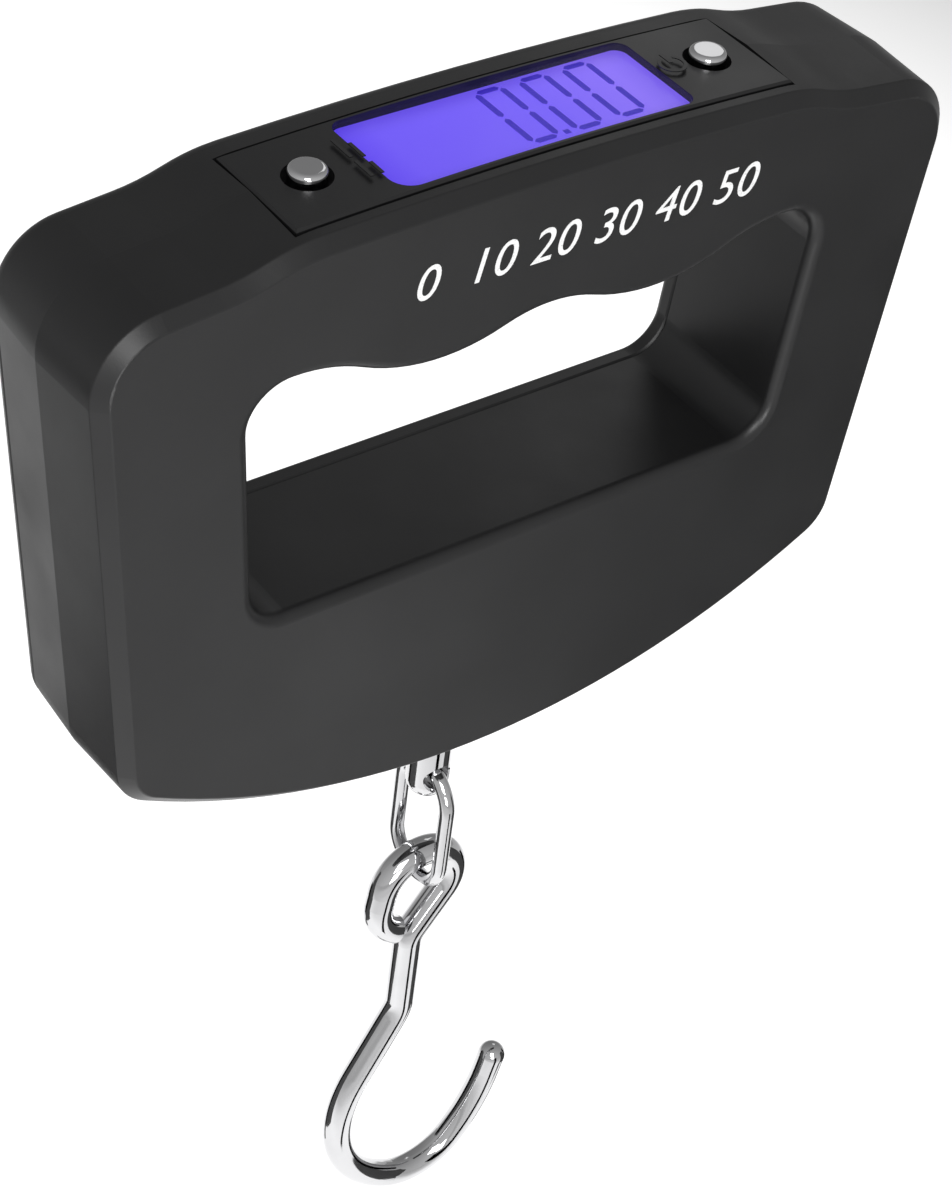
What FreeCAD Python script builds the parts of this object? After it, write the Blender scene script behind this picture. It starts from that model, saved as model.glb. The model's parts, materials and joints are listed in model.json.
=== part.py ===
import FreeCAD, Part
import Sketcher
import math
import os
import re
from FreeCAD import Placement, Rotation, Vector

# Digital fish scale with a hand grip, a display on top and a hook below.
# Millimetres. +X is the scale's right, -Y its front face, +Z up.
# The origin is the middle of the grip bar's underside, at mid thickness.

SIZES = [
    # case envelope
    ("case_width", 131.8, "widest point of the case, near its top"),
    ("crown_height", 21.8, "crown of the display hump above the grip's underside"),
    ("case_bottom", 76.5, "lowest point of the case below the grip's underside"),
    ("half_depth", 13.0, "mid plane to the front or rear face"),
    ("draft_inset", 0.68, "how far each face's outline is inside the mid-plane ridge"),
    ("front_chamfer", 1.7, "bevel round the front face"),
    ("bevel_blend", 0.45, "rounding of the bevel's two edges"),
    ("rear_round", 2.6, "rounding of the rear edge"),
    ("hump_radius", 700.0, "crown arc of the display hump"),
    ("hump_half", 35.0, "half length of the crown arc"),
    ("brow_radius", 27.0, "arc from the hump down towards the shoulder"),
    ("dip_radius", 27.0, "hollow arc into the shoulder"),
    ("brow_angle", 19.8, "steepest slope between hump and shoulder, degrees"),
    ("shoulder_angle", 6.0, "slope of the shoulder, degrees"),
    ("top_corner", 10.5, "corner radius at the shoulders"),
    ("side_lean", 4.7, "how far the sides lean in towards the bottom, degrees"),
    ("bottom_corner", 8.5, "corner radius at the bottom"),
    ("bottom_radius", 112.0, "arc of the bottom edge"),
    # hand opening
    ("grip_half", 44.7, "half width of the hand opening at its top"),
    ("grip_lean", 4.5, "lean of the opening's sides, degrees"),
    ("grip_floor", 35.7, "depth of the hand opening"),
    ("finger_pitch", 16.6, "centre to the ridge between fingers"),
    ("finger_drop", 3.0, "how far that ridge stands down"),
    ("valley_pitch", 38.0, "centre to the outer finger valley"),
    ("valley_rise", 1.8, "rise of the outer finger valley"),
    ("valley_radius", 20.0, "radius of the middle finger valley"),
    ("grip_top_corner", 6.0, "upper corner radius of the opening"),
    ("grip_low_corner", 5.5, "lower corner radius of the opening"),
    ("grip_front_round", 1.6, "rounding of the opening's front rim"),
    ("grip_rear_round", 1.0, "rounding of the opening's rear rim"),
    # walls and the split between housing and rear cover
    ("wall", 2.2, "moulded wall"),
    ("cover_thickness", 3.0, "rear cover"),
    ("cover_top", 9.3, "height of the rear cover's upper seam"),
    ("seam", 0.6, "visible gap between mouldings"),
    ("fit_gap", 0.15, "clearance between pieces that sit in each other"),
    # case screws
    ("boss_radius", 3.0, "screw boss"),
    ("screw_core", 1.1, "self-tapping screw, shank radius"),
    ("screw_head", 2.3, "screw head radius"),
    ("screw_head_height", 1.3, "screw head height"),
    ("screw_length", 12.0, "screw shank length"),
    ("screw_recess", 0.15, "screw head below the rear face"),
    ("screw_slot_length", 2.6, "cross slot"),
    ("screw_slot_width", 0.6, "cross slot"),
    ("screw_slot_depth", 0.7, "cross slot"),
    ("screw_overlap", 0.3, "shank reaching into its head"),
    ("screw_column_x", 54.6, "upper side screws, from the middle"),
    ("screw_column_z", 2.5, "upper side screws, below the grip"),
    ("screw_lower_x", 52.4, "lower side screws, from the middle"),
    ("screw_lower_z", 33.0, "lower side screws, below the grip"),
    ("screw_bottom_x", 24.0, "bottom screws, from the middle"),
    ("screw_bottom_z", 66.0, "bottom screws, below the grip"),
    # display module
    ("bezel_half", 37.5, "half length of the display bezel"),
    ("bezel_depth", 8.7, "half depth of the display bezel"),
    ("bezel_shift", 0.9, "bezel centre forward of the mid plane"),
    ("bezel_sink", 0.15, "bezel top below the hump's crown"),
    ("bezel_bevel", 0.3, "bevel round the bezel's face"),
    ("bezel_gap", 0.35, "groove between bezel and housing"),
    ("bezel_seat", 3.2, "bezel underside below the hump's crown"),
    ("seat_ledge", 0.9, "ledge that carries the bezel"),
    ("shelf_depth", 2.2, "thickness of the ledge frame"),
    ("window_half", 22.5, "half length of the display window"),
    ("window_depth", 8.05, "half depth of the display window"),
    ("window_thickness", 0.9, "clear window"),
    ("window_corner", 1.8, "corner radius of the window"),
    ("window_big_corner", 3.0, "radius of its front left corner"),
    ("window_gap", 0.12, "gap round the window"),
    ("window_sink", 0.45, "window below the bezel's face"),
    ("glass_thickness", 1.7, "display glass sandwich"),
    ("light_half", 21.5, "half length of the backlight"),
    ("light_depth", 6.0, "half depth of the backlight"),
    ("board_half", 36.8, "half length of the circuit board"),
    ("board_depth", 7.6, "half depth of the circuit board"),
    ("board_thickness", 1.6, "circuit board"),
    ("board_drop", 8.3, "board top below the hump's crown"),
    ("post_x", 35.3, "bezel posts, from the middle"),
    ("post_radius", 1.1, "bezel post"),
    ("inner_gap", 0.1, "clearance between inner pieces"),
    ("strip_depth", 1.2, "rubber contact strip"),
    ("adc_length", 9.9, "converter chip"),
    ("adc_depth", 3.9, "converter chip"),
    ("adc_height", 1.5, "converter chip"),
    ("adc_left", 6.0, "converter chip's left end"),
    ("blob_radius", 9.0, "sphere of the controller's resin cap"),
    ("blob_size", 14.0, "square that the cap stays in"),
    ("blob_height", 1.8, "resin cap"),
    ("blob_x", -10.0, "middle of the resin cap"),
    ("passive_length", 2.0, "small board component"),
    ("passive_depth", 1.25, "small board component"),
    ("passive_height", 0.8, "small board component"),
    ("board_screw_head", 1.5, "board screw head radius"),
    ("board_screw_height", 1.1, "board screw head height"),
    ("board_screw_core", 0.55, "board screw shank radius"),
    ("board_screw_length", 5.1, "board screw shank length"),
    ("board_hole", 0.75, "board's screw hole"),
    # buttons
    ("button_x", 30.4, "button centres, from the middle"),
    ("button_radius", 2.5, "button cap"),
    ("button_rise", 1.35, "button cap above the bezel"),
    ("button_travel", 0.6, "button stroke"),
    ("button_gap", 0.7, "clearance round the button cap"),
    ("button_flange", 3.6, "radius of the button's retaining flange"),
    ("flange_thickness", 0.7, "button's retaining flange"),
    ("cap_round", 0.7, "rounding of the button cap"),
    ("stem_radius", 1.7, "tactile switch plunger"),
    ("stem_lift", 0.4, "plunger above the well's floor when pressed"),
    ("well_radius", 1.8, "well of the tactile switch"),
    ("well_floor", 0.2, "floor of that well"),
    ("switch_size", 6.0, "tactile switch body, square"),
    ("switch_height", 3.0, "tactile switch body height"),
    # weighing train
    ("cell_length", 48.0, "load cell bar"),
    ("cell_height", 12.0, "load cell bar height"),
    ("cell_depth", 10.0, "load cell bar depth"),
    ("cell_top", 44.0, "load cell top below the grip"),
    ("cell_nose", 4.6, "load cell length beyond the stud"),
    ("cell_eye", 4.2, "radius of each hole in the load cell's flexure"),
    ("cell_eye_pitch", 10.0, "distance between the flexure holes"),
    ("plate_length", 26.0, "mounting plate"),
    ("plate_depth", 16.0, "mounting plate width"),
    ("plate_thickness", 2.0, "mounting plate"),
    ("plate_margin", 2.0, "mounting plate beyond the load cell's end"),
    ("plate_relief", 0.6, "relief that lets the load cell bend"),
    ("plate_relief_start", 17.0, "start of that relief from the load cell's end"),
    ("rib_thickness", 2.0, "ribs under the mounting plate"),
    ("rib_inset", 1.5, "rib middle from the mounting plate's end"),
    ("flexure_slot", 2.0, "slot between the flexure holes"),
    ("bolt_radius", 2.0, "load cell bolt"),
    ("bolt_hole", 2.2, "mounting plate's bolt hole"),
    ("bolt_head", 3.5, "load cell bolt head radius"),
    ("bolt_head_height", 2.4, "load cell bolt head height"),
    ("bolt_socket", 1.7, "hex socket, to its corners"),
    ("bolt_socket_depth", 1.5, "hex socket"),
    ("bolt_grip", 7.2, "bolt length inside the load cell"),
    ("bolt_first", 6.0, "first bolt from the load cell's end"),
    ("bolt_pitch", 8.0, "distance between the bolts"),
    ("gauge_length", 5.0, "strain gauge"),
    ("gauge_width", 4.0, "strain gauge"),
    ("gauge_thickness", 0.25, "strain gauge"),
    ("stud_radius", 3.3, "hook stud"),
    ("stud_neck", 2.5, "threaded neck of the stud"),
    ("stud_end", 96.7, "lower end of the stud below the grip"),
    ("stud_eye_height", 5.0, "cross hole above the stud's end"),
    ("stud_eye", 2.2, "cross hole radius"),
    ("stud_hole_gap", 0.9, "gap between stud and case"),
    ("stud_thread", 4.8, "stud above the load cell"),
    ("stud_tip", 0.6, "bevel at the stud's upper end"),
    ("stud_eye_bevel", 0.35, "bevel of the cross hole"),
    ("nut_corner", 4.6, "nut, to its corners"),
    ("nut_height", 3.2, "nut"),
    ("washer_radius", 4.5, "washer"),
    ("washer_thickness", 0.9, "washer"),
    ("washer_gap", 0.15, "gap between washer and stud"),
    # link and hook
    ("link_wire", 1.2, "link wire radius"),
    ("link_half", 5.65, "link half width, to the wire's centre"),
    ("link_length", 22.6, "link length, between wire centres"),
    ("link_rise", 0.35, "link's top above the cross hole's axis"),
    ("hook_wire", 2.35, "hook wire radius"),
    ("hook_rest_gap", 0.05, "gap between hook eye and link"),
    ("hook_eye_turn", 0.0, "turn of the eye about the shank, degrees"),
    ("hook_x", 0.2, "shank, right of the stud's axis"),
    ("hook_shank", 14.0, "straight shank"),
    ("jog_radius", 8.3, "bend from the shank out to the bowl"),
    ("jog_turn", 28.0, "that bend, degrees"),
    ("jog_run", 13.0, "straight run beside the bowl"),
    ("bowl_side_radius", 23.7, "side of the bowl"),
    ("bowl_side_turn", 88.0, "side of the bowl, degrees"),
    ("bowl_floor_radius", 9.8, "floor of the bowl"),
    ("bowl_floor_turn", 82.0, "floor of the bowl, degrees"),
    ("bowl_tip_radius", 34.6, "rise to the tip"),
    ("bowl_tip_turn", 25.0, "rise to the tip, degrees"),
    ("bowl_tip_run", 3.4, "straight end of the tip"),
    ("eye_neck_radius", 4.0, "bend from the shank into the eye"),
    ("eye_neck_turn", 36.0, "that bend, degrees"),
    ("eye_run", 8.3, "straight run into the eye"),
    ("eye_radius", 6.5, "hook eye, to the wire's centre"),
    ("eye_turn", 208.0, "hook eye, degrees"),
    ("eye_fall", 2.6, "straight run down from the eye"),
    ("eye_end_radius", 7.5, "bend at the eye's cut end"),
    ("eye_end_turn", 66.0, "that bend, degrees"),
    # batteries
    ("battery_radius", 5.25, "AAA cell"),
    ("battery_length", 43.5, "AAA cell without its nipple"),
    ("nipple_radius", 1.9, "AAA positive nipple"),
    ("nipple_length", 1.0, "AAA positive nipple"),
    ("contact_thickness", 0.4, "battery contact plate"),
    ("spring_radius", 3.8, "wide end of the contact spring"),
    ("spring_cone", 30.0, "taper of the contact spring, degrees"),
    ("spring_wire", 0.3, "contact spring wire radius"),
    ("battery_pitch", 10.6, "distance between the two cells"),
    ("tray_left", 6.0, "left end of the battery bay"),
    ("tray_length", 48.2, "length of the battery bay"),
    ("tray_top", 38.1, "top of the battery bay below the grip"),
    ("tray_wall", 1.0, "battery bay wall"),
    ("tray_back", 2.0, "battery bay floor, in front of the mid plane"),
    ("battery_y", 3.5, "battery axis behind the mid plane"),
    ("door_thickness", 1.8, "battery door"),
    ("door_margin", 0.9, "door overlap round the bay"),
    ("door_corner", 2.5, "corner radius of the door"),
    ("door_clip_x", 9.0, "length of the door's cut corner"),
    ("door_clip_z", 7.0, "height of the door's cut corner"),
    ("door_pin", 0.5, "hinge pin radius of the door"),
    ("door_pin_length", 0.7, "hinge pin length of the door"),
    ("door_pin_gap", 0.06, "running fit of the hinge pin"),
    ("notch_width", 1.6, "finger notch of the door"),
    ("notch_length", 9.0, "finger notch of the door"),
    ("notch_depth", 0.8, "finger notch of the door"),
    ("notch_inset", 3.0, "finger notch from the bay's right end"),
    ("bay_step", 6.0, "cut corner of the battery bay"),
    ("sleeve_gap", 0.1, "battery below its nominal radius"),
    ("contact_width", 8.0, "battery contact plate"),
    ("spring_turns", 2.0, "turns of the contact spring"),
    # wiring
    ("cable_radius", 0.8, "load cell cable"),
    ("lead_radius", 0.6, "battery lead"),
    ("cable_bend", 1.9, "bend radius of the cable"),
    ("lead_bend", 1.8, "bend radius of the leads"),
    ("cable_start_x", -24.0, "start of the cable on the load cell"),
    ("cable_end_x", -26.0, "end of the cable on the board"),
    ("cable_rear", 6.5, "cable behind the mid plane"),
    ("cable_lift", 2.8, "cable above the load cell"),
    ("wire_level", 8.5, "wires inside the grip bar, above the grip"),
    ("wire_side_gap", 1.3, "wires outside the hand opening's wall"),
    ("lead_start_x", 12.0, "start of the first battery lead"),
    ("lead_end_x", 28.0, "end of the first battery lead"),
    ("lead_front", 5.8, "first battery lead in front of the mid plane"),
    ("lead_top", 44.0, "start of the first battery lead below the grip"),
]

doc = FreeCAD.newDocument("digital_fish_scale")
sheet = doc.addObject("Spreadsheet::Sheet", "Sizes")
for row, (alias, value, note) in enumerate(SIZES, start=1):
    sheet.set("A%d" % row, note)
    sheet.set("B%d" % row, str(value))
    sheet.setAlias("B%d" % row, alias)
doc.recompute()
S = {alias: float(sheet.get(alias)) for alias, _, _ in SIZES}
NODES = []


# ---------------------------------------------------------------- helpers

def linked(text):
    """Turn an expression on aliases into one on the sheet's cells."""
    def cell(match):
        word = match.group()
        return "Sizes." + word if word in S else word
    return re.sub(r"[a-z_][a-z0-9_]*", cell, text)


def bind(thing, **sizes):
    """Bind properties to sheet expressions; numbers are set as they are."""
    for prop, size in sizes.items():
        path = prop.replace("__", ".")
        if isinstance(size, str):
            thing.setExpression(path, linked(size))
        else:
            setattr(thing, path, size)
    return thing


def move(thing, x="0", y="0", z="0"):
    """Bind the place of an object to sheet expressions."""
    for axis, size in (("x", x), ("y", y), ("z", z)):
        thing.setExpression("Placement.Base." + axis, linked(size))
    return thing


def turn(thing, axis, degrees):
    """Turn a primitive about its own corner before it is moved."""
    thing.Placement = Placement(Vector(), Rotation(axis, degrees))
    return thing


def block(name, size, place):
    """A box given by three lengths and its lowest corner."""
    box = doc.addObject("Part::Box", name)
    bind(box, Length=size[0], Width=size[1], Height=size[2])
    return move(box, *place)


def rod(name, radius, height, place, along="z"):
    """A cylinder from its base centre, along +X, +Y or +Z."""
    cylinder = doc.addObject("Part::Cylinder", name)
    bind(cylinder, Radius=radius, Height=height)
    if along == "x":
        turn(cylinder, Vector(0, 1, 0), 90)
    if along == "y":
        turn(cylinder, Vector(1, 0, 0), -90)
    return move(cylinder, *place)


def fuse(name, shapes):
    joined = doc.addObject("Part::MultiFuse", name)
    joined.Shapes = shapes
    joined.Refine = True
    return joined


def cut(name, base, tools):
    """Cut one or more tools out of a base."""
    result = doc.addObject("Part::Cut", name)
    result.Base = base
    result.Tool = tools[0] if len(tools) == 1 else fuse(name + "_tools", tools)
    return result


def group(name, shapes):
    """Separate solids that share one node."""
    result = doc.addObject("Part::Compound", name)
    result.Links = shapes
    return result


def node(thing, name):
    """Register a finished sub-part under its node name."""
    thing.Label = name
    NODES.append(thing)
    return thing


def new_body(name):
    body = doc.addObject("PartDesign::Body", name + "_body")
    return node(body, name)


def sketch(body, role, name, offset=("0", "0", "0")):
    """A sketch on one of the body's own origin planes, moved by an offset."""
    planes = {f.Role: f for f in body.Origin.OriginFeatures}
    drawing = body.newObject("Sketcher::SketchObject", name)
    drawing.AttachmentSupport = [(planes[role], "")]
    drawing.MapMode = "FlatFace"
    for axis, size in zip("xyz", offset):
        drawing.setExpression("AttachmentOffset.Base." + axis, linked(size))
    return drawing


def rectangle(drawing, width, height):
    """A rectangle centred on the sketch's origin, sizes from the sheet."""
    corners = [Vector(-1, -1, 0), Vector(1, -1, 0), Vector(1, 1, 0), Vector(-1, 1, 0)]
    for start, end in zip(corners, corners[1:] + corners[:1]):
        drawing.addGeometry(Part.LineSegment(start, end), False)
    for first, second in ((0, 1), (1, 2), (2, 3), (3, 0)):
        drawing.addConstraint(Sketcher.Constraint("Coincident", first, 2, second, 1))
    for line in (0, 2):
        drawing.addConstraint(Sketcher.Constraint("Horizontal", line))
    for line in (1, 3):
        drawing.addConstraint(Sketcher.Constraint("Vertical", line))
    drawing.addConstraint(Sketcher.Constraint("Symmetric", 0, 1, 1, 2, -1, 1))
    wide = drawing.addConstraint(Sketcher.Constraint("DistanceX", 0, 1, 0, 2, 2.0))
    tall = drawing.addConstraint(Sketcher.Constraint("DistanceY", 1, 1, 1, 2, 2.0))
    drawing.setExpression("Constraints[%d]" % wide, linked(width))
    drawing.setExpression("Constraints[%d]" % tall, linked(height))
    return drawing


def circle(drawing, radius, place=(0.0, 0.0)):
    """A circle whose radius comes from the sheet."""
    index = drawing.addGeometry(Part.Circle(Vector(place[0], place[1], 0), Vector(0, 0, 1), 1.0), False)
    size = drawing.addConstraint(Sketcher.Constraint("Radius", index, 1.0))
    drawing.setExpression("Constraints[%d]" % size, linked(radius))
    return drawing


def contour(drawing, pieces):
    """Draw lines and arcs that were worked out from the sizes."""
    for piece in pieces:
        drawing.addGeometry(piece, False)
    return drawing


def extrude(body, kind, name, profile, length, reverse=False):
    """A Pad or Pocket of a stated length."""
    feature = body.newObject("PartDesign::" + kind, name)
    feature.Profile = profile
    feature.Type = "Length"
    feature.Reversed = reverse
    feature.setExpression("Length", linked(length))
    profile.Visibility = False
    doc.recompute()
    return feature


def edge_names(shape, wanted):
    """Names of the edges that a test picks."""
    return ["Edge%d" % i for i, edge in enumerate(shape.Edges, start=1) if wanted(edge)]


def dress(body, kind, name, wanted, **sizes):
    """A Fillet or Chamfer on the edges of the body's tip that a test picks."""
    doc.recompute()
    base = body.Tip
    feature = body.newObject("PartDesign::" + kind, name)
    feature.Base = (base, edge_names(base.Shape, wanted))
    bind(feature, **sizes)
    doc.recompute()
    return feature


# ---------------------------------------------------------------- outlines
# An outline is a closed chain of arcs and lines that are tangent to each
# other, so an inset keeps every centre and changes only the radii.

def polar(centre, radius, angle):
    return (centre[0] + radius * math.cos(angle), centre[1] + radius * math.sin(angle))


def arc(centre, radius, start, end):
    """An arc from one angle to another, by its middle point."""
    points = [polar(centre, radius, a) for a in (start, (start + end) / 2, end)]
    return Part.Arc(*[Vector(x, z, 0) for x, z in points])


def line(start, end):
    return Part.LineSegment(Vector(start[0], start[1], 0), Vector(end[0], end[1], 0))


class Bend:
    """One arc of an outline; a hollow one has its centre outside the outline."""

    def __init__(self, centre, radius, start, end, hollow=False):
        self.centre = centre
        self.radius = radius
        self.start = start
        self.end = end
        self.hollow = hollow

    def inset_radius(self, inset):
        return self.radius + inset if self.hollow else self.radius - inset

    def drawn(self, inset):
        return arc(self.centre, self.inset_radius(inset), self.start, self.end)

    def first(self, inset):
        return polar(self.centre, self.inset_radius(inset), self.start)

    def last(self, inset):
        return polar(self.centre, self.inset_radius(inset), self.end)


def outline(bends, inset):
    """The closed outline: arcs joined by tangent lines, then its reflection."""
    half = []
    for bend, following in zip(bends, bends[1:] + [None]):
        half.append(bend.drawn(inset))
        if following is not None:
            here, there = bend.last(inset), following.first(inset)
            if math.dist(here, there) > 1e-6:
                half.append(line(here, there))
    here = half[-1].EndPoint
    if abs(here.x) > 1e-6:
        half.append(line((here.x, here.y), (0.0, here.y)))
    other = []
    for piece in reversed(half):
        copy = piece.copy()
        copy.mirror(Vector(0, 0, 0), Vector(0, 1, 0))
        other.append(copy)
    return half + other


def on_line(point, direction, centre, distance):
    """The further point of a line at a distance from a centre."""
    px, pz = point[0] - centre[0], point[1] - centre[1]
    along = px * direction[0] + pz * direction[1]
    rest = px * px + pz * pz - distance * distance
    step = -along + math.sqrt(along * along - rest)
    return (point[0] + step * direction[0], point[1] + step * direction[1])


def rounded_path(points, bends):
    """Straight runs between points, joined by tangent arcs of given radii."""
    pieces = []
    here = points[0]
    for before, corner, after, bend in zip(points, points[1:], points[2:], bends):
        back = (before - corner).normalize()
        ahead = (after - corner).normalize()
        half_turn = (math.pi - back.getAngle(ahead)) / 2
        start = corner + back * (bend * math.tan(half_turn))
        end = corner + ahead * (bend * math.tan(half_turn))
        inward = (back + ahead).normalize()
        middle = corner + inward * (bend / math.cos(half_turn) - bend)
        pieces.append(Part.LineSegment(here, start))
        if bend > 0:
            pieces.append(Part.Arc(start, middle, end))
        here = end
    pieces.append(Part.LineSegment(here, points[-1]))
    return pieces


def rounded_polygon(corners, bends):
    """A closed outline in a sketch's plane with a radius at each corner."""
    points = [Vector(x, z, 0) for x, z in corners]
    start = (points[-1] + points[0]) * 0.5
    return rounded_path([start] + points + [start], bends)


def shapes(pieces):
    return [piece.toShape() for piece in pieces]


def case_bends():
    """The right half of the case, from the crown to the bottom."""
    rad = math.radians
    crown = (0.0, S["crown_height"] - S["hump_radius"])
    hump_end = math.asin(S["hump_half"] / S["hump_radius"])
    steep, flat = rad(S["brow_angle"]), rad(S["shoulder_angle"])
    lean = rad(S["side_lean"])
    up = math.pi / 2
    # brow: bends down from the hump; its centre is below the skin
    brow = polar(crown, S["hump_radius"] - S["brow_radius"], up - hump_end)
    # dip: hollow arc, its centre is above the skin
    dip = polar(brow, S["brow_radius"] + S["dip_radius"], up - steep)
    # shoulder line: leaves the dip and reaches the corner
    corner_x = S["case_width"] / 2 - S["top_corner"]
    leave = polar(dip, S["dip_radius"], -up - flat)
    normal = (math.sin(flat), math.cos(flat))
    reach = leave[0] * normal[0] + leave[1] * normal[1] - S["top_corner"]
    corner = (corner_x, (reach - corner_x * normal[0]) / normal[1])
    # the side leans in; the bottom corner touches it and the bottom arc
    side = (math.cos(lean), -math.sin(lean))
    down = (-math.sin(lean), -math.cos(lean))
    shift = S["top_corner"] - S["bottom_corner"]
    start = (corner[0] + shift * side[0], corner[1] + shift * side[1])
    belly = (0.0, S["bottom_radius"] - S["case_bottom"])
    foot = on_line(start, down, belly, S["bottom_radius"] - S["bottom_corner"])
    toe = math.atan2(foot[1] - belly[1], foot[0] - belly[0])
    return [
        Bend(crown, S["hump_radius"], up, up - hump_end),
        Bend(brow, S["brow_radius"], up - hump_end, up - steep),
        Bend(dip, S["dip_radius"], -up - steep, -up - flat, hollow=True),
        Bend(corner, S["top_corner"], up - flat, -lean),
        Bend(foot, S["bottom_corner"], -lean, toe),
        Bend(belly, S["bottom_radius"], toe, -up),
    ]


def case_outline(inset=0.0):
    """The case seen from the front, made smaller all round by an inset."""
    return outline(case_bends(), inset)


def belly_z(x, inset):
    """Height of the bottom edge, inset, at a distance from the middle."""
    radius = S["bottom_radius"] - inset
    return S["bottom_radius"] - S["case_bottom"] - math.sqrt(radius * radius - x * x)


def grip_outline(outset=0.0):
    """The hand opening seen from the front, made larger by an outset."""
    lean = math.radians(S["grip_lean"])
    up = math.pi / 2
    drop, rise = S["finger_drop"], S["valley_rise"]
    ridge_radius = (S["finger_pitch"] ** 2 + drop ** 2) / (2 * drop) - S["valley_radius"]
    gap = S["valley_pitch"] - S["finger_pitch"]
    climb = drop + rise
    outer_radius = (gap ** 2 + climb ** 2) / (2 * climb) - ridge_radius
    middle = (0.0, -S["valley_radius"])
    ridge = (S["finger_pitch"], ridge_radius - drop)
    outer = (S["valley_pitch"], rise - outer_radius)
    first = math.atan2(ridge[1] - middle[1], ridge[0] - middle[0])
    second = math.atan2(ridge[1] - outer[1], ridge[0] - outer[0])
    # the side leans in towards the floor
    side = (math.cos(lean), -math.sin(lean))
    upward = (math.sin(lean), math.cos(lean))
    reach = S["grip_half"] * math.cos(lean)
    start = ((reach - S["grip_top_corner"]) * side[0], (reach - S["grip_top_corner"]) * side[1])
    top = on_line(start, upward, outer, outer_radius - S["grip_top_corner"])
    brow = math.atan2(top[1] - outer[1], top[0] - outer[0])
    low_z = S["grip_low_corner"] - S["grip_floor"]
    low = ((reach - S["grip_low_corner"] + low_z * math.sin(lean)) / math.cos(lean), low_z)
    return outline([
        Bend(middle, S["valley_radius"], up, first),
        Bend(ridge, ridge_radius, first + math.pi, second + math.pi, hollow=True),
        Bend(outer, outer_radius, second, brow),
        Bend(top, S["grip_top_corner"], brow, -lean),
        Bend(low, S["grip_low_corner"], -lean, -up),
    ], -outset)


# ---------------------------------------------------------------- the case

HALF = S["half_depth"]
SPLIT = HALF - S["cover_thickness"]
INSIDE = S["wall"] + S["draft_inset"]


def around_opening(edge):
    """True for an edge of the hand opening's rim."""
    box = edge.BoundBox
    wide = S["grip_half"] + 2.0
    return abs(box.XMax) < wide and abs(box.XMin) < wide and box.ZMin > -S["grip_floor"] - 2.0 \
        and box.ZMax < S["valley_rise"] + 2.0


def on_plane(edge, y):
    box = edge.BoundBox
    return abs(box.YMin - y) < 1e-3 and abs(box.YMax - y) < 1e-3


def make_envelope():
    """The closed outer form: drafted both ways from a ridge, bevel and round."""
    draft, bevel, rear = S["draft_inset"], S["front_chamfer"], S["rear_round"]
    side_inset = draft * (HALF - bevel) / HALF
    front_end, rear_end = draft + bevel + 1.0, draft + rear + 1.0
    runs = [[(front_end, -HALF), (draft + bevel, -HALF), (side_inset, bevel - HALF), (0.0, 0.0)],
            [(0.0, 0.0), (draft, HALF), (rear_end, HALF)]]
    blends = [[S["bevel_blend"], S["bevel_blend"]], [rear]]

    def profile(start, outward):
        edges = []
        for run, blend in zip(runs, blends):
            points = [Vector(start[0] - inset * outward[0], y, start[1] - inset * outward[1])
                      for inset, y in run]
            edges += shapes(rounded_path(points, blend))
        return Part.Wire(edges)

    faces = []
    bends = case_bends()
    for bend, following in zip(bends, bends[1:] + [None]):
        sign = -1.0 if bend.hollow else 1.0
        outward = (sign * math.cos(bend.start), sign * math.sin(bend.start))
        ring = profile(bend.first(0.0), outward)
        axis = Vector(bend.centre[0], 0, bend.centre[1])
        faces += ring.revolve(axis, Vector(0, -1, 0), math.degrees(bend.end - bend.start)).Faces
        if following is not None and math.dist(bend.last(0.0), following.first(0.0)) > 1e-6:
            here, there = bend.last(0.0), following.first(0.0)
            outward = (sign * math.cos(bend.end), sign * math.sin(bend.end))
            step = Vector(there[0] - here[0], 0, there[1] - here[1])
            faces += profile(here, outward).extrude(step).Faces
    middle = Vector(0, 0, 0)
    faces += [face.mirror(middle, Vector(1, 0, 0)) for face in faces]
    for y, inset in ((-HALF, front_end), (HALF, rear_end)):
        cap = Part.Face(Part.Wire(Part.sortEdges(shapes(case_outline(inset)))[0]))
        cap.rotate(middle, Vector(1, 0, 0), 90)
        cap.translate(Vector(0, y, 0))
        faces.append(cap)
    shell = Part.makeCompound(faces)
    shell.sewShape()
    solid = Part.makeSolid(shell.Shells[0]).removeSplitter()
    if solid.Volume < 0:
        solid.reverse()
    envelope = doc.addObject("Part::Feature", "case_envelope")
    envelope.Shape = solid
    return envelope


def based_body(name, base):
    """A body that starts from the outer form."""
    body = new_body(name)
    body.BaseFeature = base
    doc.recompute()
    return body


def opening_pocket(body):
    """The hand opening, right through."""
    drawing = sketch(body, "XZ_Plane", "hand_opening_outline", ("0", "0", "half_depth + 1"))
    shape = contour(drawing, grip_outline())
    extrude(body, "Pocket", "hand_opening", shape, "2 * half_depth + 2")


def box_pocket(body, name, role, offset, width, height, length, reverse=False):
    shape = rectangle(sketch(body, role, name + "_outline", offset), width, height)
    return extrude(body, "Pocket", name, shape, length, reverse)


def box_pad(body, name, role, offset, width, height, length, reverse=False):
    shape = rectangle(sketch(body, role, name + "_outline", offset), width, height)
    return extrude(body, "Pad", name, shape, length, reverse)


def screw_places():
    """X and Z of the six case screws."""
    places = []
    for side in (-1, 1):
        places.append((side * S["screw_column_x"], -S["screw_column_z"]))
        places.append((side * S["screw_lower_x"], -S["screw_lower_z"]))
        places.append((side * S["screw_bottom_x"], -S["screw_bottom_z"]))
    return places


def circles(drawing, places, radius):
    for place in places:
        circle(drawing, radius, place)
    return drawing


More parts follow.
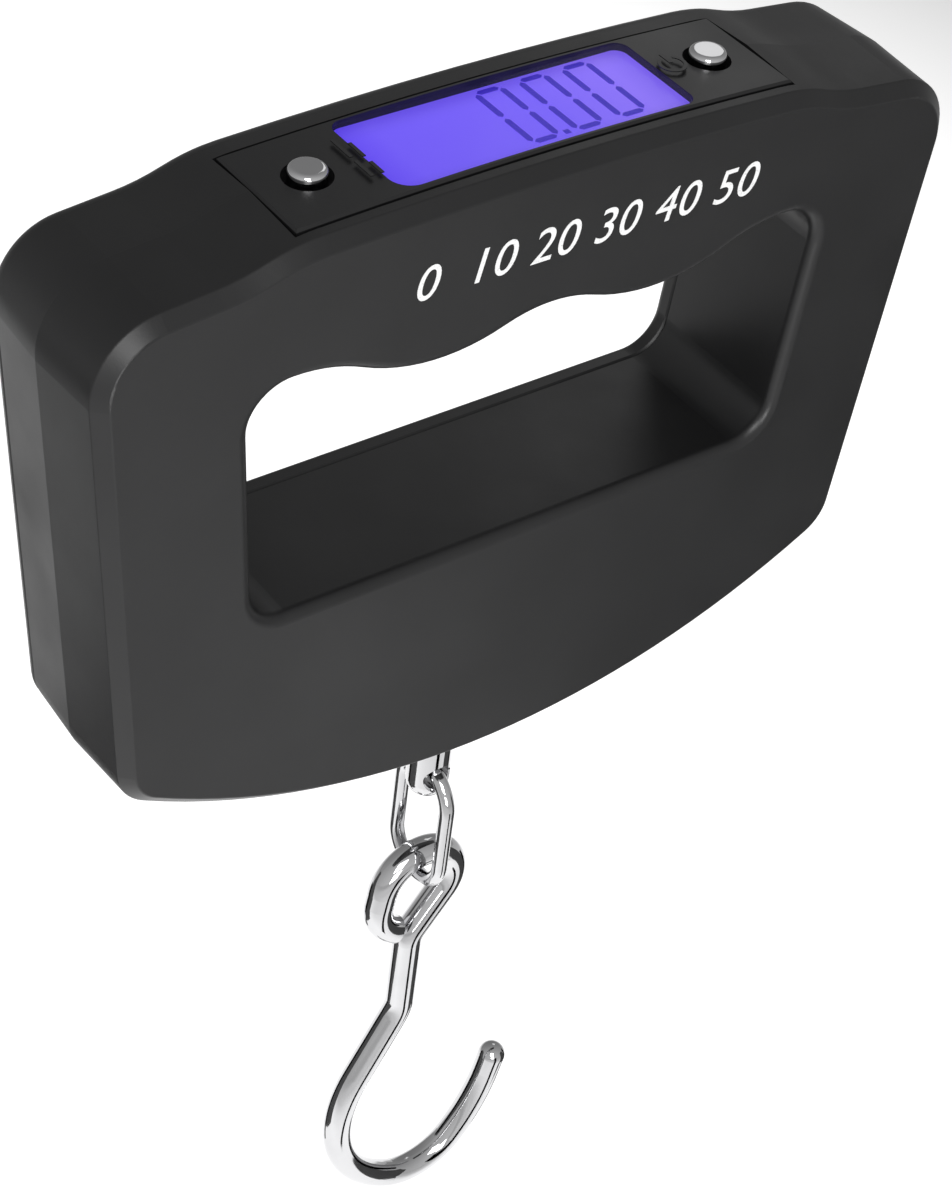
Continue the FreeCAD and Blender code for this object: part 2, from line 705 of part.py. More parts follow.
def make_main_housing(envelope):
    body = based_body("main_housing", envelope)
    opening_pocket(body)
    dress(body, "Fillet", "grip_front_rim",
          lambda e: on_plane(e, -HALF) and around_opening(e), Radius="grip_front_round")
    # room for the rear cover
    box_pocket(body, "cover_room", "XZ_Plane",
               ("0", "cover_top - case_bottom", "-half_depth + cover_thickness"),
               "2 * case_width", "2 * case_bottom", "2 * cover_thickness")
    # the hollow, round the hand opening
    hollow = sketch(body, "XZ_Plane", "hollow_outline", ("0", "0", "half_depth - wall"))
    contour(hollow, case_outline(INSIDE))
    contour(hollow, grip_outline(S["wall"]))
    extrude(body, "Pocket", "hollow", hollow, "2 * half_depth - wall - cover_thickness")
    # ledge frame and seat for the display bezel
    box_pad(body, "ledge_frame", "XZ_Plane",
            ("0", "crown_height - bezel_seat - shelf_depth / 2", "half_depth - wall / 2"),
            "2 * bezel_half + 4", "shelf_depth", "2 * half_depth - wall / 2 - cover_thickness", reverse=True)
    box_pocket(body, "bezel_seat_pocket", "XY_Plane",
               ("0", "-bezel_shift", "crown_height - bezel_seat"),
               "2 * (bezel_half + bezel_gap)", "2 * (bezel_depth + bezel_gap)", "bezel_seat + 1",
               reverse=True)
    box_pocket(body, "module_opening", "XY_Plane",
               ("0", "-bezel_shift", "crown_height - bezel_seat"),
               "2 * (bezel_half - seat_ledge)", "2 * (bezel_depth - seat_ledge)", "shelf_depth + 4")
    # screw bosses with their pilot holes
    bosses = circles(sketch(body, "XZ_Plane", "boss_outline", ("0", "0", "half_depth - wall / 2")),
                     screw_places(), "boss_radius")
    extrude(body, "Pad", "screw_bosses", bosses, "2 * half_depth - wall / 2 - cover_thickness", reverse=True)
    pilots = circles(sketch(body, "XZ_Plane", "pilot_outline", ("0", "0", "-half_depth + cover_thickness")),
                     screw_places(), "screw_core")
    extrude(body, "Pocket", "pilot_holes", pilots, "screw_length + 1", reverse=True)
    # ribs that carry the load cell's plate
    half = S["rib_thickness"] / 2
    for name, x in (("outer_rib", PLATE_X + S["rib_inset"]),
                    ("inner_rib", PLATE_X + S["plate_length"] - S["rib_inset"])):
        low = belly_z(abs(x), INSIDE) - 0.8
        high = -(S["cell_top"] + S["cell_height"] + S["plate_thickness"])
        rib = sketch(body, "XZ_Plane", name + "_outline", ("0", "0", "half_depth - wall / 2"))
        sides = [(x - half, low), (x + half, low), (x + half, high), (x - half, high)]
        contour(rib, [line(a, b) for a, b in zip(sides, sides[1:] + sides[:1])])
        extrude(body, "Pad", name, rib, "half_depth - wall / 2 + plate_depth / 2", reverse=True)
    # exit hole of the stud
    hole = circle(sketch(body, "XY_Plane", "stud_exit_outline", ("0", "0", "-case_bottom - 1")),
                  "stud_radius + stud_hole_gap")
    extrude(body, "Pocket", "stud_exit", hole, "wall + draft_inset + 3", reverse=True)
    return body


def make_rear_cover(envelope):
    body = based_body("rear_cover", envelope)
    opening_pocket(body)
    dress(body, "Fillet", "grip_rear_rim",
          lambda e: on_plane(e, HALF) and around_opening(e), Radius="grip_rear_round")
    box_pocket(body, "housing_side", "XZ_Plane", ("0", "0", "half_depth + 1"), "2 * case_width",
               "4 * case_bottom", "2 * half_depth - cover_thickness + 1")
    box_pocket(body, "housing_top", "XZ_Plane", ("0", "cover_top - seam + crown_height", "1"),
               "2 * case_width", "2 * crown_height", "half_depth + 3")
    dress(body, "Chamfer", "seam_edge", lambda e: on_plane(e, SPLIT), Size="seam")
    # battery bay: two end walls and a floor
    # the right wall stops short, where the bay's lower corner is cut away
    walls = (("bay_left_wall", "tray_left - tray_wall / 2", "2 * battery_radius + battery_pitch"),
             ("bay_right_wall", "tray_left + tray_length + tray_wall / 2", "battery_radius + battery_pitch"))
    for name, x, height in walls:
        place = (x, "-tray_top - (%s) / 2" % height, "tray_back + tray_wall")
        box_pad(body, name, "XZ_Plane", place, "tray_wall", height,
                "half_depth - cover_thickness + tray_back + tray_wall + 1", reverse=True)
    floor = sketch(body, "XZ_Plane", "bay_floor_outline", ("0", "0", "tray_back"))
    left = S["tray_left"] - S["tray_wall"]
    right = S["tray_left"] + S["tray_length"] + S["tray_wall"]
    top = -S["tray_top"]
    low = top - 2 * S["battery_radius"] - S["battery_pitch"]
    notch = top - S["battery_pitch"] - S["battery_radius"]
    corners = [(left, low), (right - S["bay_step"], low), (right, notch), (right, top), (left, top)]
    contour(floor, [line(a, b) for a, b in zip(corners, corners[1:] + corners[:1])])
    extrude(body, "Pad", "bay_floor", floor, "tray_wall")
    # opening of the bay and the seat of its door
    mouth = contour(sketch(body, "XZ_Plane", "bay_mouth_outline", ("0", "0", "-half_depth - 1")),
                    door_outline(-S["door_margin"]))
    extrude(body, "Pocket", "bay_mouth", mouth, "cover_thickness + 2", reverse=True)
    seat = contour(sketch(body, "XZ_Plane", "door_seat_outline", ("0", "0", "-half_depth - 1")),
                   door_outline(S["fit_gap"]))
    extrude(body, "Pocket", "door_seat", seat, "door_thickness + fit_gap + 1", reverse=True)
    pins = circle(sketch(body, "XY_Plane", "pin_socket_outline",
                         ("tray_left - door_margin + door_thickness / 2", "half_depth - door_thickness / 2",
                          "-tray_top + door_margin + door_pin_length + 0.1")),
                  "door_pin + door_pin_gap")
    extrude(body, "Pocket", "pin_sockets", pins,
            "2 * battery_radius + battery_pitch + 2 * door_margin + 2 * door_pin_length + 0.2")
    # screw holes with seats for the heads
    holes = circles(sketch(body, "XZ_Plane", "screw_hole_outline", ("0", "0", "-half_depth - 1")),
                    screw_places(), "screw_core + 0.3")
    extrude(body, "Pocket", "screw_holes", holes, "cover_thickness + 2", reverse=True)
    seats = circles(sketch(body, "XZ_Plane", "screw_seat_outline", ("0", "0", "-half_depth - 1")),
                    screw_places(), "screw_head + 0.2")
    extrude(body, "Pocket", "screw_seats", seats, "screw_head_height + 1.15", reverse=True)
    return body


def door_outline(outset=0.0):
    """The battery door; its hinge side is square, the other corners are round."""
    left = S["tray_left"] - S["door_margin"] - outset
    right = S["tray_left"] + S["tray_length"] + S["door_margin"] + outset
    high = -S["tray_top"] + S["door_margin"] + outset
    low = -S["tray_top"] - 2 * S["battery_radius"] - S["battery_pitch"] - S["door_margin"] - outset
    clip_x, clip_z = S["door_clip_x"] - outset * 0.4, S["door_clip_z"] - outset * 0.4
    corners = [(left, high), (left, low), (right - clip_x, low), (right, low + clip_z), (right, high)]
    radius = S["door_corner"]
    return rounded_polygon(corners, [0.0, 0.0, radius, radius, radius])


def make_battery_door():
    body = new_body("battery_door")
    drawing = sketch(body, "XZ_Plane", "door_plate_outline", ("0", "0", "-half_depth + door_thickness"))
    plate = contour(drawing, door_outline())
    extrude(body, "Pad", "door_plate", plate, "door_thickness", reverse=True)
    # rolled hinge edge, so that the door turns in its seat
    dress(body, "Fillet", "rolled_edge",
          lambda e: e.BoundBox.XMax < S["tray_left"] - S["door_margin"] + 1e-3,
          Radius="door_thickness / 2 - 0.01")
    pin = circle(sketch(body, "XY_Plane", "hinge_pin_outline",
                        ("tray_left - door_margin + door_thickness / 2", "half_depth - door_thickness / 2",
                         "-tray_top + door_margin + door_pin_length")), "door_pin")
    extrude(body, "Pad", "hinge_pins", pin,
            "2 * battery_radius + battery_pitch + 2 * door_margin + 2 * door_pin_length", reverse=True)
    # finger notch near the free end
    box_pocket(body, "finger_notch", "XZ_Plane",
               ("tray_left + tray_length - notch_inset", "-tray_top - battery_radius - battery_pitch / 2",
                "-half_depth - 1"), "notch_width", "notch_length", "notch_depth + 1", reverse=True)
    return body


# ---------------------------------------------------------------- display

def window_outline(inset=0.0):
    """The window from above; its front left corner is the roundest."""
    x, y = S["window_half"] - inset, S["window_depth"] - inset
    corners = [(-x, -y - S["bezel_shift"]), (x, -y - S["bezel_shift"]),
               (x, y - S["bezel_shift"]), (-x, y - S["bezel_shift"])]
    small = S["window_corner"] - inset
    return rounded_polygon(corners, [S["window_big_corner"] - inset, small, small, small])


def make_display_bezel():
    body = new_body("display_bezel")
    seat = S["crown_height"] - S["bezel_seat"]
    radius = S["hump_radius"] - S["bezel_sink"]
    centre = (0.0, S["crown_height"] - S["hump_radius"])
    edge = math.asin(S["bezel_half"] / radius)
    up = math.pi / 2
    left, right = polar(centre, radius, up + edge), polar(centre, radius, up - edge)
    profile = sketch(body, "XZ_Plane", "bezel_profile", ("0", "0", "bezel_shift + bezel_depth"))
    contour(profile, [arc(centre, radius, up - edge, up + edge), line(left, (left[0], seat)),
                      line((left[0], seat), (right[0], seat)), line((right[0], seat), right)])
    extrude(body, "Pad", "bezel_plate", profile, "2 * bezel_depth", reverse=True)
    dress(body, "Chamfer", "bezel_edge", lambda e: e.BoundBox.ZMin > seat + 0.5, Size="bezel_bevel")
    post_places = [(-S["post_x"], 0), (S["post_x"], 0)]
    drawing = sketch(body, "XY_Plane", "post_outline",
                     ("0", "-bezel_shift", "crown_height - bezel_seat + 0.5"))
    posts = circles(drawing, post_places, "post_radius")
    extrude(body, "Pad", "posts", posts, "board_drop - bezel_seat + 0.5", reverse=True)
    window = contour(sketch(body, "XY_Plane", "window_outline", ("0", "0", "crown_height - bezel_seat")),
                     window_outline())
    extrude(body, "Pocket", "window_hole", window, "bezel_seat + 1", reverse=True)
    drawing = sketch(body, "XY_Plane", "button_hole_outline",
                     ("0", "-bezel_shift", "crown_height - bezel_seat"))
    holes = circles(drawing, [(-S["button_x"], 0), (S["button_x"], 0)], "button_radius + button_gap")
    extrude(body, "Pocket", "button_holes", holes, "bezel_seat + 1", reverse=True)
    drawing = sketch(body, "XY_Plane", "post_pilot_outline",
                     ("0", "-bezel_shift", "crown_height - board_drop"))
    pilots = circles(drawing, post_places, "board_screw_core")
    extrude(body, "Pocket", "post_pilots", pilots, "4", reverse=True)
    return body


# X and Y of the small board components, from the board's middle
PASSIVES = ((-24, -4), (-24, 0), (-24, 4), (20, -4), (20, 4), (25, 0))


def slab(name, half_x, half_y, z_low, height):
    """A flat block centred under the bezel."""
    return block(name, ("2 * (%s)" % half_x, "2 * (%s)" % half_y, height),
                 ("-(%s)" % half_x, "-bezel_shift - (%s)" % half_y, z_low))


def make_display_stack():
    pane = new_body("display_window")
    glass_top = "crown_height - bezel_sink - window_sink - window_thickness"
    shape = contour(sketch(pane, "XY_Plane", "pane_outline", ("0", "0", glass_top)),
                    window_outline(S["window_gap"]))
    extrude(pane, "Pad", "pane", shape, "window_thickness")
    glass = new_body("lcd_glass")
    shape = contour(sketch(glass, "XY_Plane", "glass_outline", ("0", "0", glass_top)),
                    window_outline(S["window_gap"]))
    extrude(glass, "Pad", "glass", shape, "glass_thickness", reverse=True)
    under = "board_drop - bezel_sink - window_sink - window_thickness - glass_thickness"
    node(slab("light", "light_half", "light_depth", "crown_height - board_drop", under), "backlight")
    strip = block("strip", ("2 * light_half", "strip_depth", under),
                  ("-light_half", "-bezel_shift + light_depth + inner_gap", "crown_height - board_drop"))
    node(strip, "contact_strip")
    board = slab("board_plate", "board_half", "board_depth", "crown_height - board_drop - board_thickness",
                 "board_thickness")
    drills = [rod("board_drill_%d" % i, "board_hole", "board_thickness + 2",
                  ("%d * post_x" % side, "-bezel_shift", "crown_height - board_drop - board_thickness - 1"))
              for i, side in enumerate((-1, 1))]
    node(cut("board", board, drills), "display_board")
    below = "crown_height - board_drop - board_thickness"
    node(block("adc", ("adc_length", "adc_depth", "adc_height"),
               ("adc_left", "-bezel_shift - adc_depth / 2", below + " - adc_height")), "adc_chip")
    blob = doc.addObject("Part::Sphere", "blob_ball")
    bind(blob, Radius="blob_radius")
    move(blob, "blob_x", "-bezel_shift", below + " + blob_radius - blob_height")
    keep = block("blob_keep", ("blob_size", "blob_size", "2 * blob_height"),
                 ("blob_x - blob_size / 2", "-bezel_shift - blob_size / 2", below + " - 2 * blob_height"))
    cap = doc.addObject("Part::Common", "blob")
    cap.Base = blob
    cap.Tool = keep
    node(cap, "controller_chip")
    small = []
    for i, (x, y) in enumerate(PASSIVES):
        small.append(block("passive_%d" % i, ("passive_length", "passive_depth", "passive_height"),
                           (str(x), "-bezel_shift + %d" % y, below + " - passive_height")))
    node(group("passives", small), "board_components")
    screws = []
    for i, side in enumerate((-1, 1)):
        x = "%d * post_x" % side
        head = rod("board_screw_head_%d" % i, "board_screw_head", "board_screw_height",
                   (x, "-bezel_shift", below + " - board_screw_height"))
        shank = rod("board_screw_shank_%d" % i, "board_screw_core", "board_screw_length",
                    (x, "-bezel_shift", below + " - board_screw_height / 2"))
        screws.append(fuse("board_screw_%d" % i, [head, shank]))
    node(group("board_screw_pair", screws), "board_screws")


def make_buttons():
    # height of the bezel's face above the flange, at the button's centre
    face = "sqrt((hump_radius - bezel_sink)^2 - button_x^2) - hump_radius + bezel_seat + inner_gap"
    flange_top = "crown_height - bezel_seat - inner_gap"
    for name, side in (("unit_button", -1), ("power_button", 1)):
        body = new_body(name)
        place = ("%d * button_x" % side, "-bezel_shift", flange_top)
        cap = circle(sketch(body, "XY_Plane", "cap_outline", place), "button_radius")
        extrude(body, "Pad", "cap", cap, face + " + button_rise")
        top = body.Shape.BoundBox.ZMax
        dress(body, "Fillet", "cap_edge", lambda e: e.BoundBox.ZMin > top - 1e-3, Radius="cap_round")
        ring = circle(sketch(body, "XY_Plane", "flange_outline", place), "button_flange")
        extrude(body, "Pad", "flange", ring, "flange_thickness", reverse=True)
    switches = []
    base = "crown_height - board_drop"
    for name, side in (("unit", -1), ("power", 1)):
        centre = "%d * button_x" % side
        case = block(name + "_switch_case", ("switch_size", "switch_size", "switch_height"),
                     (centre + " - switch_size / 2", "-bezel_shift - switch_size / 2", base))
        well = rod(name + "_switch_well", "well_radius", "switch_height",
                   (centre, "-bezel_shift", base + " + well_floor"))
        switches.append(cut(name + "_switch", case, [well]))
        stem = rod(name + "_stem", "stem_radius",
                   "board_drop - bezel_seat - inner_gap - flange_thickness - button_travel - stem_lift",
                   (centre, "-bezel_shift", base + " + button_travel + stem_lift"))
        node(stem, name + "_switch_plunger")
    node(group("switch_pair", switches), "tactile_switches")


# ---------------------------------------------------------------- weighing train

PLATE_X = S["cell_nose"] - S["cell_length"] - S["plate_margin"]
BOLTS = ("cell_nose - cell_length + bolt_first", "cell_nose - cell_length + bolt_first + bolt_pitch")


def make_load_cell():
    bar = block("bar", ("cell_length", "cell_depth", "cell_height"),
                ("cell_nose - cell_length", "-cell_depth / 2", "-cell_top - cell_height"))
    middle = "-cell_top - cell_height / 2"
    centre = "cell_nose - cell_length / 2 + 1"
    tools = []
    for i, side in enumerate((-1, 1)):
        tools.append(rod("flexure_%d" % i, "cell_eye", "cell_depth + 2",
                         (centre + " + %d * cell_eye_pitch / 2" % side, "-cell_depth / 2 - 1", middle), "y"))
    tools.append(block("flexure_slot_tool", ("cell_eye_pitch", "cell_depth + 2", "flexure_slot"),
                       (centre + " - cell_eye_pitch / 2", "-cell_depth / 2 - 1",
                        middle + " - flexure_slot / 2")))
    tools.append(rod("stud_bore", "stud_neck", "cell_height + 2", ("0", "0", "-cell_top - cell_height - 1")))
    for i, x in enumerate(BOLTS):
        tools.append(rod("plate_bore_%d" % i, "bolt_radius", "bolt_grip + 1.8",
                         (x, "0", "-cell_top - cell_height - 1")))
    node(cut("load_cell_bar", bar, tools), "load_cell")
    gauges = []
    beneath = "-cell_top - cell_height - gauge_thickness"
    for i, (level, side) in enumerate((("-cell_top", -1), ("-cell_top", 1), (beneath, -1), (beneath, 1))):
        gauges.append(block("gauge_%d" % i, ("gauge_length", "gauge_width", "gauge_thickness"),
                            (centre + " + %d * cell_eye_pitch / 2 - gauge_length / 2" % side,
                             "-gauge_width / 2", level)))
    node(group("gauge_set", gauges), "strain_gauges")
    under = "-cell_top - cell_height - plate_thickness"
    plate = block("plate_blank", ("plate_length", "plate_depth", "plate_thickness"),
                  ("cell_nose - cell_length - plate_margin", "-plate_depth / 2", under))
    step = block("plate_step", ("plate_length", "plate_depth + 2", "plate_relief + 1"),
                 ("cell_nose - cell_length + plate_relief_start", "-plate_depth / 2 - 1",
                  "-cell_top - cell_height - plate_relief"))
    bores = [rod("plate_hole_%d" % i, "bolt_hole", "plate_thickness + 2", (x, "0", under + " - 1"))
             for i, x in enumerate(BOLTS)]
    node(cut("plate", plate, [step] + bores), "load_cell_plate")
    bolts = []
    for i, x in enumerate(BOLTS):
        head = rod("cell_bolt_head_%d" % i, "bolt_head", "bolt_head_height",
                   (x, "0", under + " - bolt_head_height"))
        shank = rod("cell_bolt_shank_%d" % i, "bolt_radius", "plate_thickness + bolt_grip + 0.2",
                    (x, "0", under + " - 0.2"))
        socket = doc.addObject("Part::Prism", "cell_bolt_socket_%d" % i)
        bind(socket, Polygon=6, Circumradius="bolt_socket", Height="bolt_socket_depth + 0.1")
        move(socket, x, "0", under + " - bolt_head_height - 0.1")
        bolts.append(cut("cell_bolt_%d" % i, fuse("cell_bolt_blank_%d" % i, [head, shank]), [socket]))
    node(group("cell_bolts", bolts), "load_cell_bolts")


def make_stud():
    body = new_body("hook_stud")
    low, eye = -S["stud_end"], S["stud_end"] - S["stud_eye_height"]
    shoulder = -(S["cell_top"] + S["cell_height"])
    neck_top = -S["cell_top"] + S["stud_thread"]
    tip = S["stud_tip"]
    profile = sketch(body, "XZ_Plane", "stud_profile")
    r, n = S["stud_radius"], S["stud_neck"]
    points = [(0, low + r), (r, low + r), (r, shoulder), (n, shoulder), (n, neck_top - tip),
              (n - tip, neck_top), (0, neck_top)]
    pieces = [arc((0, low + r), r, -math.pi / 2, 0.0)]
    pieces += [line(a, b) for a, b in zip(points[1:], points[2:])]
    pieces.append(line(points[-1], (0, low)))
    contour(profile, pieces)
    spin = body.newObject("PartDesign::Revolution", "stud_turned")
    spin.Profile = profile
    spin.ReferenceAxis = (profile, ["V_Axis"])
    spin.Angle = 360.0
    profile.Visibility = False
    doc.recompute()
    drawing = sketch(body, "XZ_Plane", "cross_hole_outline",
                     ("0", "stud_eye_height - stud_end", "stud_radius + 1"))
    hole = circle(drawing, "stud_eye")
    extrude(body, "Pocket", "cross_hole", hole, "2 * stud_radius + 2")
    dress(body, "Chamfer", "cross_hole_edges",
          lambda e: e.Length > 6 and e.BoundBox.ZMax < -eye + S["stud_eye"] + 0.01
          and e.BoundBox.ZMin > -eye - S["stud_eye"] - 0.01
          and max(abs(e.BoundBox.YMax), abs(e.BoundBox.YMin)) > S["stud_radius"] - 0.2, Size="stud_eye_bevel")
    nut = doc.addObject("Part::Prism", "nut_blank")
    bind(nut, Polygon=6, Circumradius="nut_corner", Height="nut_height")
    move(nut, "0", "0", "-cell_top + washer_thickness")
    bore = rod("nut_bore", "stud_neck", "nut_height + 2", ("0", "0", "-cell_top"))
    node(cut("nut", nut, [bore]), "stud_nut")
    disc = rod("washer_disc", "washer_radius", "washer_thickness", ("0", "0", "-cell_top"))
    inner = rod("washer_bore", "stud_neck + washer_gap", "washer_thickness + 2", ("0", "0", "-cell_top - 1"))
    node(cut("washer", disc, [inner]), "stud_washer")


# ---------------------------------------------------------------- link and hook

def swept(path, radius):
    """A round wire along tangent edges."""
    wire = Part.Wire(path)
    first = path[0]
    start = first.valueAt(first.FirstParameter)
    heading = first.tangentAt(first.FirstParameter)
    ring = Part.Wire([Part.makeCircle(radius, start, heading)])
    solid = wire.makePipeShell([ring], True, False)
    if solid.Volume < 0:
        solid.reverse()
    return solid


def make_link():
    top = S["stud_eye_height"] - S["stud_end"] + S["link_rise"]
    half = S["link_half"]
    high, low = top - half, top - S["link_length"] + half
    legs = [Part.Arc(Vector(0, -half, high), Vector(0, 0, top), Vector(0, half, high)).toShape(),
            Part.LineSegment(Vector(0, half, high), Vector(0, half, low)).toShape(),
            Part.Arc(Vector(0, half, low), Vector(0, 0, low - half), Vector(0, -half, low)).toShape(),
            Part.LineSegment(Vector(0, -half, low), Vector(0, -half, high)).toShape()]
    upper = Part.makeTorus(half, S["link_wire"], Vector(0, 0, high), Vector(1, 0, 0))
    lower = Part.makeTorus(half, S["link_wire"], Vector(0, 0, low), Vector(1, 0, 0))
    big = 4 * half
    keep_up = Part.makeBox(big, big, big, Vector(-big / 2, -big / 2, high))
    keep_low = Part.makeBox(big, big, big, Vector(-big / 2, -big / 2, low - big))
    rods = [Part.makeCylinder(S["link_wire"], high - low, Vector(0, side * half, low)) for side in (-1, 1)]
    solid = upper.common(keep_up).fuse([lower.common(keep_low)] + rods).removeSplitter()
    link = doc.addObject("Part::Feature", "link_ring")
    link.Shape = solid.Solids[0]
    return node(link, "link")


def hook_top():
    """Height of the centre of the hook eye's top strand."""
    link_low = S["stud_eye_height"] - S["stud_end"] + S["link_rise"] - S["link_length"]
    return link_low + S["link_wire"] + S["hook_wire"] + S["hook_rest_gap"]


class Walker:
    """Draws tangent lines and arcs in the X-Z plane, heading from straight down."""

    def __init__(self, x, z, heading):
        self.place = Vector(x, 0, z)
        self.centre = self.place
        self.heading = math.radians(heading)
        self.edges = []

    def forward(self):
        return Vector(math.sin(self.heading), 0, -math.cos(self.heading))

    def straight(self, length):
        end = self.place + self.forward() * length
        self.edges.append(Part.LineSegment(self.place, end).toShape())
        self.place = end

    def bend(self, radius, degrees):
        """Positive degrees turn anticlockwise as seen from the front."""
        sign = 1 if degrees > 0 else -1
        ahead = self.forward()
        centre = self.place + Vector(-ahead.z, 0, ahead.x) * (radius * sign)
        arm = self.place - centre

        def turned(part):
            angle = math.radians(degrees) * part
            return centre + Rotation(Vector(0, -1, 0), math.degrees(angle)).multVec(arm)
        self.centre = centre
        self.edges.append(Part.Arc(self.place, turned(0.5), turned(1.0)).toShape())
        self.place = turned(1.0)
        self.heading += math.radians(degrees)


def make_hook():
    # eye: up the right, over the top and down the left, ending beside the shank
    eye = Walker(S["hook_x"], 0.0, 180.0)
    eye.bend(S["eye_neck_radius"], -S["eye_neck_turn"])
    eye.straight(S["eye_run"])
    eye.bend(S["eye_radius"], S["eye_turn"])
    neck = hook_top() - eye.centre.z - S["eye_radius"]
    eye.straight(S["eye_fall"])
    eye.bend(S["eye_end_radius"], S["eye_end_turn"])
    upper = swept(eye.edges, S["hook_wire"])
    upper.translate(Vector(0, 0, neck))
    upper.rotate(Vector(S["hook_x"], 0, 0), Vector(0, 0, 1), S["hook_eye_turn"])
    # bowl: down the shank, out to the left, round the bottom and up to the tip
    bowl = Walker(S["hook_x"], neck, 0.0)
    bowl.straight(S["hook_shank"])
    bowl.bend(S["jog_radius"], -S["jog_turn"])
    bowl.straight(S["jog_run"])
    bowl.bend(S["bowl_side_radius"], S["bowl_side_turn"])
    bowl.bend(S["bowl_floor_radius"], S["bowl_floor_turn"])
    bowl.bend(S["bowl_tip_radius"], S["bowl_tip_turn"])
    bowl.straight(S["bowl_tip_run"])
    lower = swept(bowl.edges, S["hook_wire"])
    tip = Part.makeSphere(S["hook_wire"], bowl.place)
    solid = lower.fuse([upper, tip]).removeSplitter()
    hook = doc.addObject("Part::Feature", "hook_wire_form")
    hook.Shape = solid.Solids[0]
    return node(hook, "hook")


# ---------------------------------------------------------------- batteries

def make_batteries():
    """Two cells side by side; the upper one points left, the lower one right."""
    upper = "-tray_top - battery_radius"
    lower = upper + " - battery_pitch"
    right = "tray_left + tray_length - contact_thickness"
    can = rod("upper_can", "battery_radius - sleeve_gap", "battery_length",
              ("tray_left + contact_thickness + nipple_length", "battery_y", upper), "x")
    tip = rod("upper_tip", "nipple_radius", "nipple_length + 1",
              ("tray_left + contact_thickness", "battery_y", upper), "x")
    node(fuse("upper_cell", [can, tip]), "battery_upper")
    can = rod("lower_can", "battery_radius - sleeve_gap", "battery_length",
              (right + " - nipple_length - battery_length", "battery_y", lower), "x")
    tip = rod("lower_tip", "nipple_radius", "nipple_length + 1",
              (right + " - nipple_length - 1", "battery_y", lower), "x")
    node(fuse("lower_cell", [can, tip]), "battery_lower")
    plates = [block(name, ("contact_thickness", "contact_width", "contact_width + battery_pitch"),
                    (x, "battery_y - contact_width / 2", lower + " - contact_width / 2"))
              for name, x in (("left_plate", "tray_left"), ("right_plate", right))]
    node(group("contact_plates", plates), "battery_contacts")
    coils = []
    upper_z = -S["tray_top"] - S["battery_radius"]
    room = S["tray_length"] - 2 * S["contact_thickness"] - S["battery_length"] - S["nipple_length"]
    rise = room - 2 * S["spring_wire"]
    left_end = S["tray_left"] + S["contact_thickness"] + S["spring_wire"]
    right_end = S["tray_left"] + S["tray_length"] - S["contact_thickness"] - S["spring_wire"]
    for x, z, side in ((left_end, upper_z - S["battery_pitch"], 1), (right_end, upper_z, -1)):
        helix = Part.makeLongHelix(rise / S["spring_turns"], rise, S["spring_radius"], -S["spring_cone"])
        start = Vector(S["spring_radius"], 0, 0)
        ring = Part.Wire([Part.makeCircle(S["spring_wire"], start, helix.Edges[0].tangentAt(0))])
        coil = doc.addObject("Part::Feature", "spring")
        coil.Shape = Part.Wire(helix.Edges).makePipeShell([ring], True, False)
        coil.Placement = Placement(Vector(x, S["battery_y"], z), Rotation(Vector(0, 1, 0), side * 90))
        coils.append(coil)
    node(group("spring_pair", coils), "battery_springs")


# ---------------------------------------------------------------- fasteners and wiring

def make_case_screws():
    screws = []
    head_y = "half_depth - screw_head_height - screw_recess"
    slot_y = "half_depth - screw_recess - screw_slot_depth"
    for i, (x, z) in enumerate(screw_places()):
        head = rod("screw_head_%d" % i, "screw_head", "screw_head_height", (str(x), head_y, str(z)), "y")
        shank = rod("screw_shank_%d" % i, "screw_core", "screw_length",
                    (str(x), head_y + " - screw_length + screw_overlap", str(z)), "y")
        slots = []
        for j, (wide, tall) in enumerate((("screw_slot_length", "screw_slot_width"),
                                          ("screw_slot_width", "screw_slot_length"))):
            slots.append(block("screw_slot_%d_%d" % (i, j), (wide, "screw_slot_depth + 0.3", tall),
                               ("%f - %s / 2" % (x, wide), slot_y, "%f - %s / 2" % (z, tall))))
        screws.append(cut("case_screw_%d" % i, fuse("screw_blank_%d" % i, [head, shank]), slots))
    node(group("case_screw_set", screws), "case_screws")


def wire_run(points, radius, bend):
    """A wire of straight runs joined by tangent arcs."""
    return swept(shapes(rounded_path(points, [bend] * (len(points) - 2))), radius)


def make_wiring():
    board_z = S["crown_height"] - S["board_drop"] - S["board_thickness"]
    side = S["grip_half"] + S["wall"] + S["wire_side_gap"]
    level, rear = S["wire_level"], S["cable_rear"]
    start, end = S["cable_start_x"], S["cable_end_x"]
    lift = S["cable_lift"] - S["cell_top"]
    foot = S["gauge_thickness"] - S["cell_top"]
    run = [Vector(start, 0, foot), Vector(start, 0, lift), Vector(start, rear, lift),
           Vector(-side, rear, lift), Vector(-side, rear, level),
           Vector(end, rear - 2, level), Vector(end, rear - 2, board_z)]
    loom = doc.addObject("Part::Feature", "cell_loom")
    loom.Shape = wire_run(run, S["cable_radius"], S["cable_bend"])
    node(loom, "load_cell_cable")
    supply = []
    bay_y = -S["tray_back"] - S["tray_wall"]
    for i in range(2):
        x, y, z = S["lead_start_x"] + 4 * i, -S["lead_front"] - 2 * i, -S["lead_top"] - 6 * i
        end = S["lead_end_x"] - 3 * i
        run = [Vector(x, bay_y, z), Vector(x, y, z), Vector(side, y, z), Vector(side, y, level),
               Vector(end, y, level), Vector(end, y, board_z)]
        lead = doc.addObject("Part::Feature", "supply_lead_%d" % i)
        lead.Shape = wire_run(run, S["lead_radius"], S["lead_bend"])
        supply.append(lead)
    node(group("supply_leads", supply), "battery_leads")


# ---------------------------------------------------------------- build and write

